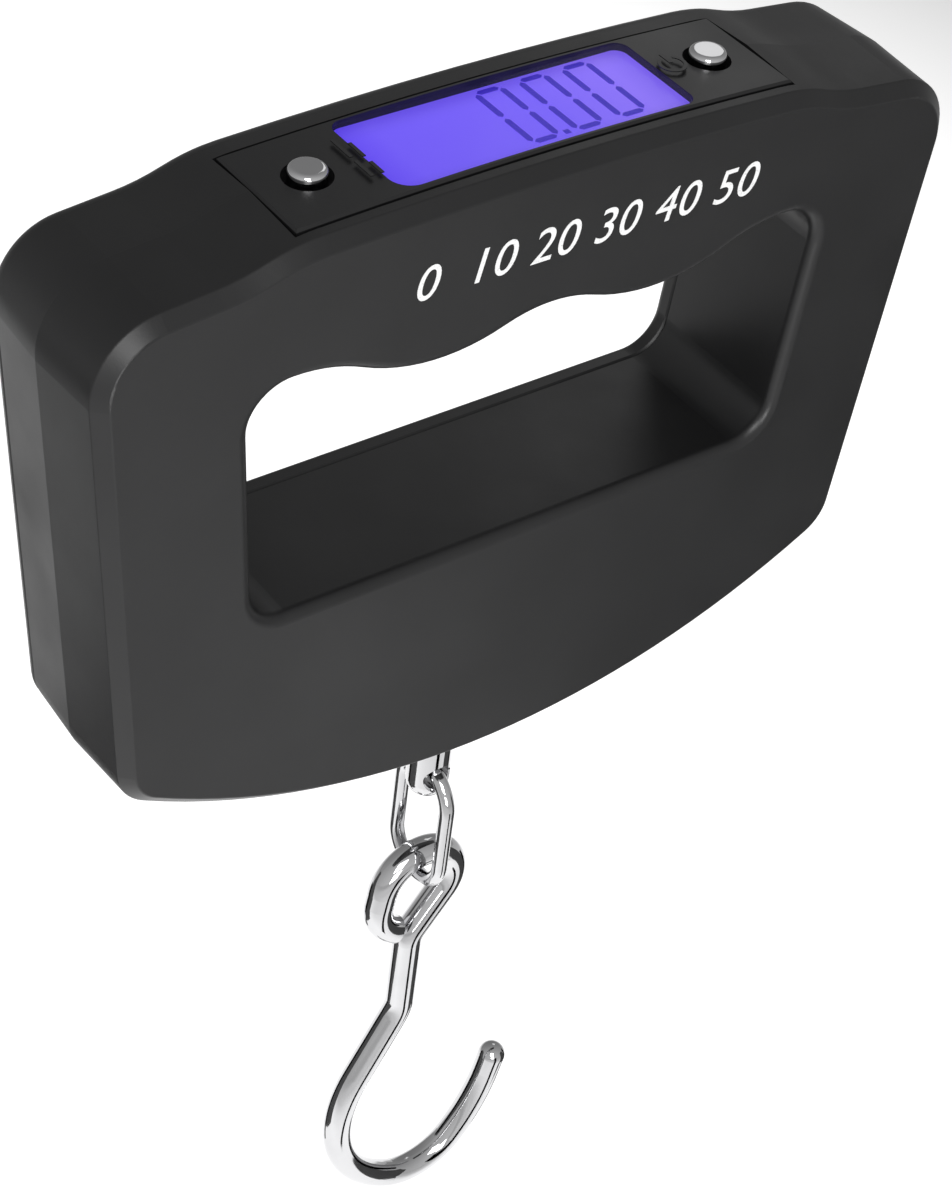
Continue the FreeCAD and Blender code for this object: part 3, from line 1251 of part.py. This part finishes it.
envelope = make_envelope()
make_main_housing(envelope)
make_rear_cover(envelope)
make_battery_door()
make_display_bezel()
make_display_stack()
make_buttons()
make_load_cell()
make_stud()
make_link()
make_hook()
make_batteries()
make_case_screws()
make_wiring()
doc.recompute()

faults = [thing.Name for thing in doc.Objects if {"Invalid", "Error"} & set(thing.State)]
for thing in NODES:
    if thing.Shape.isNull() or not thing.Shape.isValid() or not thing.Shape.Solids:
        faults.append(thing.Label)
if faults:
    raise SystemExit("failed: " + ", ".join(faults))
os.makedirs("parts", exist_ok=True)
for thing in NODES:
    thing.Shape.exportStep("parts/%s.step" % thing.Label)
    box = thing.Shape.BoundBox
    spans = "x %6.1f %6.1f  y %6.1f %6.1f  z %7.1f %7.1f" % (
        box.XMin, box.XMax, box.YMin, box.YMax, box.ZMin, box.ZMax)
    counts = "%-20s solids %2d volume %9.1f " % (thing.Label, len(thing.Shape.Solids), thing.Shape.Volume)
    print(counts, spans)
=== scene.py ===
import json
import math
import bpy
import bmesh
from mathutils import Matrix, Vector


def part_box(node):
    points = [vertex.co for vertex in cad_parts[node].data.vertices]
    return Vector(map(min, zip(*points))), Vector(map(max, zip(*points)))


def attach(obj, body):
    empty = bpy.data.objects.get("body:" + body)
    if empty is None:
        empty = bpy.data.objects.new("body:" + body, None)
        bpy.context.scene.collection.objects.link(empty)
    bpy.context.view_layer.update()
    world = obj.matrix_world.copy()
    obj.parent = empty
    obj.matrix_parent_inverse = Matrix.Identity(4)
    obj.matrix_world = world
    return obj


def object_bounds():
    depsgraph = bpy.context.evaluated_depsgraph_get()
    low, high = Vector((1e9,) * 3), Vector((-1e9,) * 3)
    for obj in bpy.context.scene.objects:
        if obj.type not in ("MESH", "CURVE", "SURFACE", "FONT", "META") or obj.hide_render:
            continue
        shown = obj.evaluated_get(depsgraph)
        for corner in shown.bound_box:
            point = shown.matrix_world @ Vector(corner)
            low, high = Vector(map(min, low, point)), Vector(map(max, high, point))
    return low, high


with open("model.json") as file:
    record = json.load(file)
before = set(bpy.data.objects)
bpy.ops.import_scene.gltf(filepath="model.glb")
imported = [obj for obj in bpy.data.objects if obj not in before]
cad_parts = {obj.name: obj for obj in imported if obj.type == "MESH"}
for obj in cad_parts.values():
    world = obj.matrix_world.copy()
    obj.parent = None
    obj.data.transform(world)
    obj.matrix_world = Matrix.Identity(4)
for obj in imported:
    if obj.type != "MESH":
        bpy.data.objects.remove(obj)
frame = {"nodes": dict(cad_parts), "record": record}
cad_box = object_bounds()
MM = 0.001


# ---------------------------------------------------------------- node helpers

SOCKETS = {
    "color": "Base Color",
    "rough": "Roughness",
    "metal": "Metallic",
    "spec": "Specular IOR Level",
    "coat": "Coat Weight",
    "coat_rough": "Coat Roughness",
    "alpha": "Alpha",
    "glow": "Emission Strength",
}


class Nodes:
    """A material's node tree with short calls for adding and linking."""

    def __init__(self, name):
        self.material = bpy.data.materials.new(name)
        self.material.use_nodes = True
        self.tree = self.material.node_tree
        self.tree.nodes.clear()
        self.output = self.tree.nodes.new("ShaderNodeOutputMaterial")
        self.shader = self.add("ShaderNodeBsdfPrincipled")
        self.link(self.shader.outputs["BSDF"], self.output.inputs["Surface"])
        self.place = self.add("ShaderNodeTexCoord").outputs["Object"]

    def add(self, kind, **settings):
        node = self.tree.nodes.new(kind)
        for key, value in settings.items():
            setattr(node, key, value)
        return node

    def link(self, start, end):
        self.tree.links.new(start, end)

    def set(self, **values):
        """Uniform values, straight on the shader's sockets."""
        for key, value in values.items():
            socket = self.shader.inputs[SOCKETS[key]]
            socket.default_value = (*value, 1.0) if isinstance(value, tuple) else value

    def noise(self, scale, detail=2.0, stretch=None, rough=0.5):
        texture = self.add("ShaderNodeTexNoise")
        texture.inputs["Scale"].default_value = scale
        texture.inputs["Detail"].default_value = detail
        texture.inputs["Roughness"].default_value = rough
        place = self.place
        if stretch is not None:
            mapping = self.add("ShaderNodeMapping")
            mapping.inputs["Scale"].default_value = stretch
            self.link(place, mapping.inputs["Vector"])
            place = mapping.outputs["Vector"]
        self.link(place, texture.inputs["Vector"])
        return texture.outputs["Fac"]

    def ramp(self, value, stops):
        """A colour or grey ramp; a stop is (position, grey) or (position, colour)."""
        ramp = self.add("ShaderNodeValToRGB")
        elements = ramp.color_ramp.elements
        while len(elements) < len(stops):
            elements.new(0.5)
        for element, (position, shade) in zip(elements, stops):
            element.position = position
            element.color = (*shade, 1.0) if isinstance(shade, tuple) else (shade, shade, shade, 1.0)
        self.link(value, ramp.inputs["Fac"])
        return ramp.outputs["Color"]

    def across(self, node_name, axis):
        """From 0 to 1 over a CAD node's box, along X (0) or Y (1)."""
        low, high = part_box(node_name)
        split = self.add("ShaderNodeSeparateXYZ")
        self.link(self.place, split.inputs["Vector"])
        spread = self.add("ShaderNodeMapRange")
        spread.inputs["From Min"].default_value = low[axis]
        spread.inputs["From Max"].default_value = high[axis]
        self.link(split.outputs["XYZ"[axis]], spread.inputs["Value"])
        return spread.outputs["Result"]

    def vary(self, name, value, stops):
        self.link(self.ramp(value, stops), self.shader.inputs[name])

    def bump(self, value, strength, distance, over=None):
        bump = self.add("ShaderNodeBump")
        bump.inputs["Strength"].default_value = strength
        bump.inputs["Distance"].default_value = distance
        self.link(value, bump.inputs["Height"])
        if over is not None:
            self.link(over, bump.inputs["Normal"])
        self.link(bump.outputs["Normal"], self.shader.inputs["Normal"])
        return bump.outputs["Normal"]


# ---------------------------------------------------------------- materials

def moulded_plastic(name, dark, light, rough, grain):
    """Black moulded plastic: spark-eroded grain, faint flow clouds, a little handling polish."""
    n = Nodes(name)
    n.set(spec=0.5)
    n.vary("Base Color", n.noise(60.0, 3.0), [(0.3, dark), (0.75, light)])
    n.vary("Roughness", n.noise(45.0, 4.0), [(0.3, rough - 0.06), (0.7, rough + 0.06)])
    clouds = n.bump(n.noise(900.0, 2.0), 0.12, 0.00005)
    n.bump(n.noise(5200.0, 3.0, rough=0.6), grain, 0.00003, over=clouds)
    return n.material


def chrome(name, tint, rough):
    """Plated steel with very fine polishing marks and slight waviness."""
    n = Nodes(name)
    n.set(metal=1.0)
    n.vary("Base Color", n.noise(120.0, 3.0), [(0.2, tuple(c * 0.9 for c in tint)), (0.7, tint)])
    n.vary("Roughness", n.noise(260.0, 5.0), [(0.25, rough * 0.6), (0.8, rough * 1.6)])
    waves = n.bump(n.noise(220.0, 2.0), 0.10, 0.00012)
    n.bump(n.noise(1.0, 4.0, stretch=(2600.0, 2600.0, 900.0)), 0.05, 0.00002, over=waves)
    return n.material


def satin_metal(name, tint, rough):
    """Bare or zinc-plated metal with drawing marks along X."""
    n = Nodes(name)
    n.set(metal=1.0)
    n.vary("Base Color", n.noise(200.0, 4.0), [(0.2, tuple(c * 0.8 for c in tint)), (0.8, tint)])
    n.vary("Roughness", n.noise(500.0, 5.0), [(0.2, rough - 0.08), (0.8, rough + 0.1)])
    n.bump(n.noise(1.0, 4.0, stretch=(400.0, 5000.0, 5000.0)), 0.12, 0.00003)
    return n.material


def soft_plastic(name, dark, light, rough):
    """Small inner parts: mottled plastic, rubber, resin or ceramic."""
    n = Nodes(name)
    scale = 400.0
    n.vary("Base Color", n.noise(scale, 3.0), [(0.25, dark), (0.75, light)])
    n.vary("Roughness", n.noise(scale * 2, 3.0), [(0.2, rough - 0.05), (0.8, rough + 0.08)])
    n.bump(n.noise(scale * 8, 2.0), 0.15, 0.00003)
    return n.material


def clear_window(name):
    """Thin clear cover with a soft gloss; what lies under it shows through."""
    n = Nodes(name)
    n.set(color=(0.03, 0.03, 0.06), spec=0.5, alpha=0.12)
    n.vary("Roughness", n.noise(300.0, 3.0), [(0.2, 0.05), (0.8, 0.11)])
    n.bump(n.noise(140.0, 2.0), 0.04, 0.00005)
    return n.material


def lit_display(name):
    """Blue-violet backlit glass: deeper blue in the front left corner, paler at the right end."""
    n = Nodes(name)
    along = n.ramp(n.across("lcd_glass", 0), [(0.0, (0.115, 0.055, 0.95)), (0.12, (0.165, 0.10, 1.0)),
                                              (0.62, (0.185, 0.115, 1.0)), (0.9, (0.27, 0.17, 1.0)),
                                              (1.0, (0.20, 0.12, 0.90))])
    fade = n.ramp(n.across("lcd_glass", 1), [(0.0, 0.74), (0.16, 0.95), (0.8, 1.0), (1.0, 0.82)])
    mix = n.add("ShaderNodeMix", data_type="RGBA", blend_type="MULTIPLY")
    mix.inputs["Factor"].default_value = 1.0
    n.link(along, mix.inputs["A"])
    n.link(fade, mix.inputs["B"])
    n.link(mix.outputs["Result"], n.shader.inputs["Emission Color"])
    n.set(color=(0.05, 0.03, 0.25), rough=0.35, glow=0.92)
    return n.material


def segment_ink(name):
    """Dark blue liquid-crystal segments."""
    n = Nodes(name)
    n.set(rough=0.4, glow=0.55)
    n.vary("Base Color", n.noise(900.0, 2.0),
           [(0.2, (0.010, 0.006, 0.10)), (0.8, (0.02, 0.012, 0.16))])
    n.vary("Emission Color", n.noise(500.0, 2.0),
           [(0.2, (0.045, 0.015, 0.72)), (0.8, (0.06, 0.022, 0.85))])
    return n.material


def print_ink(name):
    """White pad-printed ink with tiny pinholes."""
    n = Nodes(name)
    n.vary("Base Color", n.noise(2500.0, 4.0), [(0.28, (0.62, 0.62, 0.62)), (0.42, (0.88, 0.88, 0.88))])
    n.set(rough=0.5)
    n.bump(n.noise(3000.0, 3.0), 0.2, 0.00002)
    return n.material


def battery_sleeve(name):
    """Green printed sleeve with a copper band at one end, as a plain AAA cell has."""
    n = Nodes(name)
    n.set(metal=0.35, coat=0.4, coat_rough=0.15)
    n.vary("Base Color", n.across("battery_upper", 0),
           [(0.0, (0.75, 0.72, 0.66)), (0.03, (0.42, 0.20, 0.08)), (0.30, (0.48, 0.24, 0.10)),
            (0.31, (0.012, 0.06, 0.045)), (1.0, (0.015, 0.085, 0.06))])
    n.vary("Roughness", n.noise(300.0, 3.0), [(0.2, 0.22), (0.8, 0.36)])
    return n.material


def board_material(name):
    """Green solder mask with paler tracks running both ways."""
    n = Nodes(name)
    tracks = n.add("ShaderNodeTexBrick")
    tracks.inputs["Scale"].default_value = 420.0
    tracks.inputs["Color1"].default_value = (0.012, 0.10, 0.035, 1.0)
    tracks.inputs["Color2"].default_value = (0.018, 0.13, 0.045, 1.0)
    tracks.inputs["Mortar"].default_value = (0.03, 0.22, 0.08, 1.0)
    tracks.inputs["Mortar Size"].default_value = 0.03
    n.link(n.place, tracks.inputs["Vector"])
    n.link(tracks.outputs["Color"], n.shader.inputs["Base Color"])
    n.vary("Roughness", n.noise(700.0, 3.0), [(0.2, 0.25), (0.8, 0.4)])
    n.set(coat=0.3)
    return n.material


MATERIALS = {
    "case_plastic": moulded_plastic("case_plastic", (0.0080, 0.0080, 0.0084),
                                    (0.0115, 0.0115, 0.0120), 0.40, 0.35),
    "bezel_plastic": moulded_plastic("bezel_plastic", (0.0070, 0.0070, 0.0075),
                                     (0.0100, 0.0100, 0.0106), 0.36, 0.25),
    "window_clear": clear_window("window_clear"),
    "display_blue": lit_display("display_blue"),
    "light_guide": soft_plastic("light_guide", (0.7, 0.7, 0.75), (0.85, 0.85, 0.9), 0.4),
    "contact_rubber": soft_plastic("contact_rubber", (0.5, 0.5, 0.48), (0.65, 0.65, 0.62), 0.7),
    "board_green": board_material("board_green"),
    "chip_black": soft_plastic("chip_black", (0.012, 0.012, 0.012), (0.02, 0.02, 0.02), 0.5),
    "parts_ceramic": soft_plastic("parts_ceramic", (0.32, 0.24, 0.16), (0.45, 0.36, 0.26), 0.5),
    "switch_black": soft_plastic("switch_black", (0.02, 0.02, 0.02), (0.035, 0.035, 0.035), 0.45),
    "chromed": chrome("chromed", (0.66, 0.66, 0.67), 0.07),
    "zinc_steel": satin_metal("zinc_steel", (0.62, 0.61, 0.58), 0.35),
    "spring_steel": satin_metal("spring_steel", (0.70, 0.68, 0.62), 0.25),
    "bar_aluminium": satin_metal("bar_aluminium", (0.80, 0.80, 0.82), 0.32),
    "gauge_film": soft_plastic("gauge_film", (0.45, 0.25, 0.06), (0.6, 0.36, 0.12), 0.4),
    "cell_wrap": battery_sleeve("cell_wrap"),
    "wire_grey": soft_plastic("wire_grey", (0.16, 0.16, 0.17), (0.24, 0.24, 0.25), 0.5),
    "segments": segment_ink("segments"),
    "white_print": print_ink("white_print"),
}


def dress_nodes():
    """Every CAD node takes the material of its slot in the record."""
    for entry in frame["record"]["subparts"]:
        node = frame["nodes"][entry["node"]]
        node.data.materials.clear()
        node.data.materials.append(MATERIALS[entry["material_slot"]])


# ---------------------------------------------------------------- small pieces

def piece(name, mesh, material):
    """A visual piece that rides on the case, with its material."""
    mesh.materials.clear()
    mesh.materials.append(MATERIALS[material])
    thing = bpy.data.objects.new(name, mesh)
    bpy.context.scene.collection.objects.link(thing)
    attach(thing, "case")


def prisms(name, outlines, thickness, matrix):
    """Thin raised shapes: each outline in the plane of the matrix, extruded along its Z."""
    mesh = bpy.data.meshes.new(name)
    build = bmesh.new()
    for outline in outlines:
        low = [build.verts.new(matrix @ Vector((x, y, 0.0))) for x, y in outline]
        high = [build.verts.new(matrix @ Vector((x, y, thickness))) for x, y in outline]
        build.faces.new(high)
        build.faces.new(list(reversed(low)))
        for i, corner in enumerate(low):
            j = (i + 1) % len(low)
            build.faces.new((corner, low[j], high[j], high[i]))
    bmesh.ops.recalc_face_normals(build, faces=build.faces)
    build.to_mesh(mesh)
    build.free()
    return mesh


def segment(start, end, half):
    """One pointed bar of a seven-segment digit."""
    a, b = Vector(start), Vector(end)
    ahead = (b - a).normalized()
    side = Vector((-ahead.y, ahead.x)) * half
    a_in, b_in = a + ahead * half, b - ahead * half
    corners = (a, a_in + side, b_in + side, b, b_in - side, a_in - side)
    return [tuple(corner) for corner in corners]


def zero(left, low, wide, tall, half, gap):
    """The six lit bars of a zero, given its lower left corner."""
    x0, x1, y0, y1, y2 = left, left + wide, low, low + tall / 2, low + tall
    ends = (((x0 + gap, y2), (x1 - gap, y2)),
            ((x0, y2 - gap), (x0, y1 + gap)),
            ((x1, y2 - gap), (x1, y1 + gap)),
            ((x0, y1 - gap), (x0, y0 + gap)),
            ((x1, y1 - gap), (x1, y0 + gap)),
            ((x0 + gap, y0), (x1 - gap, y0)))
    return [segment(start, end, half) for start, end in ends]


def bar(x, y, wide, tall):
    """Outline of an upright rectangle about its middle."""
    return [(x - wide / 2, y - tall / 2), (x + wide / 2, y - tall / 2),
            (x + wide / 2, y + tall / 2), (x - wide / 2, y + tall / 2)]


def display_digits():
    """Three zeros with a decimal point after the first, on top of the display glass."""
    glass_low, glass_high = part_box("lcd_glass")
    shift_back = 0.8 * MM
    wide, tall, pitch = 3.8 * MM, 12.2 * MM, 6.75 * MM
    half, gap = 0.44 * MM, 0.22 * MM
    first_left = -1.1 * MM
    low = (glass_low[1] + glass_high[1]) / 2 + shift_back - tall / 2
    point_ahead, point_rise, point_size = 1.4 * MM, 0.1 * MM, 0.84 * MM
    lift, thickness = 0.04 * MM, 0.03 * MM
    outlines = []
    for i in range(3):
        outlines += zero(first_left + i * pitch, low, wide, tall, half, gap)
    outlines.append(bar(first_left + wide + point_ahead, low + point_rise, point_size, point_size))
    place = Matrix.Translation((0.0, 0.0, glass_high[2] + lift))
    mesh = prisms("display_digits", outlines, thickness, place)
    piece("display_digits", mesh, "segments")


def text_mesh(name, words, size, thickness, slant):
    """Plain numerals as a mesh, centred on their own origin in X and Y."""
    curve = bpy.data.curves.new(name + "_curve", "FONT")
    curve.body = words
    curve.size = size
    curve.shear = slant
    curve.extrude = thickness / 2
    curve.resolution_u = 6
    curve.align_x = "CENTER"
    curve.align_y = "CENTER"
    curve.space_character = 1.06
    holder = bpy.data.objects.new(name + "_holder", curve)
    bpy.context.scene.collection.objects.link(holder)
    bpy.context.view_layer.update()
    graph = bpy.context.evaluated_depsgraph_get()
    mesh = bpy.data.meshes.new_from_object(holder.evaluated_get(graph))
    mesh.name = name
    bpy.data.objects.remove(holder)
    bpy.data.curves.remove(curve)
    return mesh


def front_print():
    """A row of plain numbers printed on the front of the grip bar."""
    front_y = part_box("main_housing")[0][1]
    upright = Matrix.Rotation(math.pi / 2, 4, "X")
    size, slant = 7.0 * MM, 0.22
    lift, thickness = 0.03 * MM, 0.05 * MM
    start, step, row = -20.7 * MM, 9.6 * MM, 9.8 * MM
    for i, number in enumerate(("0", "10", "20", "30", "40", "50")):
        name = "scale_number_" + number
        mesh = text_mesh(name, number, size, thickness, slant)
        mesh.transform(Matrix.Translation((start + i * step, front_y - lift, row)) @ upright)
        piece(name, mesh, "white_print")


def arc(x, y, radius, turns):
    """Points on a circle at the given angles."""
    return [(x + radius * math.cos(t), y + radius * math.sin(t)) for t in turns]


def open_ring(x, y, radius, half, first, last):
    """Outline of a ring with a gap, from one angle to another in degrees."""
    steps = 28
    turns = [math.radians(first + (last - first) * i / steps) for i in range(steps + 1)]
    return arc(x, y, radius + half, turns) + arc(x, y, radius - half, turns[::-1])


def raised_marks():
    """Plain moulded marks on the bezel beside the two buttons."""
    low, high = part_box("display_bezel")
    bezel_top, sunk, height = 21.65 * MM, 0.02 * MM, 0.13 * MM
    middle = ((low[0] + high[0]) / 2, (low[1] + high[1]) / 2, bezel_top - sunk)
    stroke = 0.5 * MM
    outer_bars, inner_bars = -24.2 * MM, -22.7 * MM
    unit = [bar(outer_bars, -2.6 * MM, stroke, 3.6 * MM), bar(outer_bars, 2.2 * MM, stroke, 4.2 * MM),
            bar(inner_bars, -3.0 * MM, stroke, 2.6 * MM), bar(inner_bars, 1.2 * MM, stroke, 3.2 * MM)]
    ring_x, ring_radius = 24.6 * MM, 1.7 * MM
    power = [open_ring(ring_x, 0.0, ring_radius, stroke / 2, 125.0, 415.0),
             bar(ring_x, 1.4 * MM, stroke, 2.2 * MM)]
    for name, outlines in (("unit_mark", unit), ("power_mark", power)):
        mesh = prisms(name, outlines, height, Matrix.Translation(middle))
        piece(name, mesh, "bezel_plastic")


dress_nodes()
display_digits()
front_print()
raised_marks()


# ---------------------------------------------------------------- stage, light, camera

CASE_MIDDLE = (0.0, 0.0, -0.05)
FLOOR_LEVEL = cad_box[0][2] - 0.15


def aim(thing, target):
    thing.rotation_euler = (Vector(target) - thing.location).to_track_quat("-Z", "Y").to_euler()


def soft_light(name, place, side, power):
    """A square panel that faces the case."""
    data = bpy.data.lights.new(name, "AREA")
    data.shape = "SQUARE"
    data.size = side
    data.energy = power
    lamp = bpy.data.objects.new(name, data)
    lamp.location = place
    aim(lamp, CASE_MIDDLE)
    bpy.context.scene.collection.objects.link(lamp)


def rectangle(name, half_width, half_height, level, material):
    """A flat four-cornered mesh about the origin."""
    mesh = bpy.data.meshes.new(name)
    mesh.from_pydata([(-half_width, -half_height, level), (half_width, -half_height, level),
                      (half_width, half_height, level), (-half_width, half_height, level)],
                     [], [(0, 1, 2, 3)])
    mesh.materials.append(material)
    thing = bpy.data.objects.new(name, mesh)
    bpy.context.scene.collection.objects.link(thing)
    return thing


def floor_with_painted_pool():
    """White sweep that glows, with a painted pool of light: brightest in a wide pool behind the object,
    dimmer further out.
    """
    n = Nodes("floor_with_painted_pool")
    n.set(rough=0.9, spec=0.1, color=(0.75, 0.75, 0.75), glow=1.0)
    spread = n.add("ShaderNodeVectorMath", operation="DISTANCE")
    spread.inputs[1].default_value = (0.05, 0.30, FLOOR_LEVEL)
    n.link(n.place, spread.inputs[0])
    # painted pool of light: the floor's emission fades with distance from a point behind the object
    n.vary("Emission Color", spread.outputs["Value"], [(0.42, 0.80), (0.62, 0.22), (1.0, 0.20)])
    reach = 6.0
    rectangle("floor", reach, reach, FLOOR_LEVEL, n.material)


def flag(name, centre, toward, width, height, shade):
    """A matt card outside the picture that only shows as a reflection."""
    n = Nodes(name)
    n.set(color=(shade, shade, shade), rough=1.0, spec=0.0)
    card = rectangle(name, width / 2, height / 2, 0.0, n.material)
    card.location = centre
    aim(card, toward)
    card.visible_camera = False
    card.visible_diffuse = False
    card.visible_shadow = False


def reflected_cards():
    """Dark cards that draw the streaks on the chrome and shade the front and the left side."""
    dark_grey, black = 0.10, 0.0
    tall = 0.32
    flag("front_card", (0.205, -0.125, -0.19), (0.08, -0.013, -0.03), 0.12, tall, dark_grey)
    flag("side_card", (-0.205, 0.135, -0.19), (-0.066, 0.0, -0.04), 0.15, tall, dark_grey)
    ring, level, streak_height = 0.12, -0.25, 0.19
    for i, (angle, width) in enumerate(((-84.0, 0.034), (128.0, 0.030), (-8.0, 0.026))):
        turn = math.radians(angle)
        place = (ring * math.cos(turn), ring * math.sin(turn), level)
        flag("streak_card_%d" % i, place, (0.0, 0.0, level), width, streak_height, black)


def studio():
    """White surroundings, dimmer overhead and behind, with three soft panels."""
    bpy.context.scene.view_settings.view_transform = "Standard"
    world = bpy.data.worlds.new("studio")
    bpy.context.scene.world = world
    world.use_nodes = True
    tree = world.node_tree
    back = tree.nodes["Background"]
    place = tree.nodes.new("ShaderNodeTexCoord")
    toward = tree.nodes.new("ShaderNodeVectorMath")
    toward.operation = "DOT_PRODUCT"
    brightest = Vector((-0.42, -0.78, -0.30))
    toward.inputs[1].default_value = brightest.normalized()
    tree.links.new(place.outputs["Generated"], toward.inputs[0])
    spread = tree.nodes.new("ShaderNodeMapRange")
    spread.inputs["From Min"].default_value = -1.0
    spread.inputs["From Max"].default_value = 1.0
    tree.links.new(toward.outputs["Value"], spread.inputs["Value"])
    ramp = tree.nodes.new("ShaderNodeValToRGB")
    for element, shade in zip(ramp.color_ramp.elements, (0.30, 0.85)):
        element.color = (shade, shade, shade, 1.0)
    tree.links.new(spread.outputs["Result"], ramp.inputs["Fac"])
    tree.links.new(ramp.outputs["Color"], back.inputs["Color"])
    back.inputs["Strength"].default_value = 0.8
    soft_light("key", (-0.48, -0.74, 0.55), 0.5, 4.4)
    soft_light("front_fill", (-0.20, -0.42, -0.06), 0.16, 0.65)
    soft_light("back_rim", (0.50, 0.42, 0.42), 0.25, 0.15)


def photo_camera():
    """Looks down on the front from the left, rolled a little."""
    azimuth, elevation, roll = (math.radians(a) for a in (-40.67, 40.75, 7.71))
    target, distance = Vector((4.03, -0.94, -59.19)) * MM, 0.4
    back = Vector((math.sin(azimuth) * math.cos(elevation), -math.cos(azimuth) * math.cos(elevation),
                   math.sin(elevation)))
    right = Vector((math.cos(azimuth), math.sin(azimuth), 0.0))
    up = back.cross(right)
    turned_right = math.cos(roll) * right + math.sin(roll) * up
    turned_up = -math.sin(roll) * right + math.cos(roll) * up
    data = bpy.data.cameras.new("camera")
    data.sensor_fit = "HORIZONTAL"
    data.sensor_width = 36.0
    data.lens = 106.95
    data.clip_start = 0.01
    camera = bpy.data.objects.new("camera", data)
    eye = target + distance * back
    axes = Matrix((turned_right, turned_up, back)).transposed()
    camera.matrix_world = Matrix.Translation(eye) @ axes.to_4x4()
    bpy.context.scene.collection.objects.link(camera)
    bpy.context.scene.camera = camera


floor_with_painted_pool()
reflected_cards()
studio()
photo_camera()
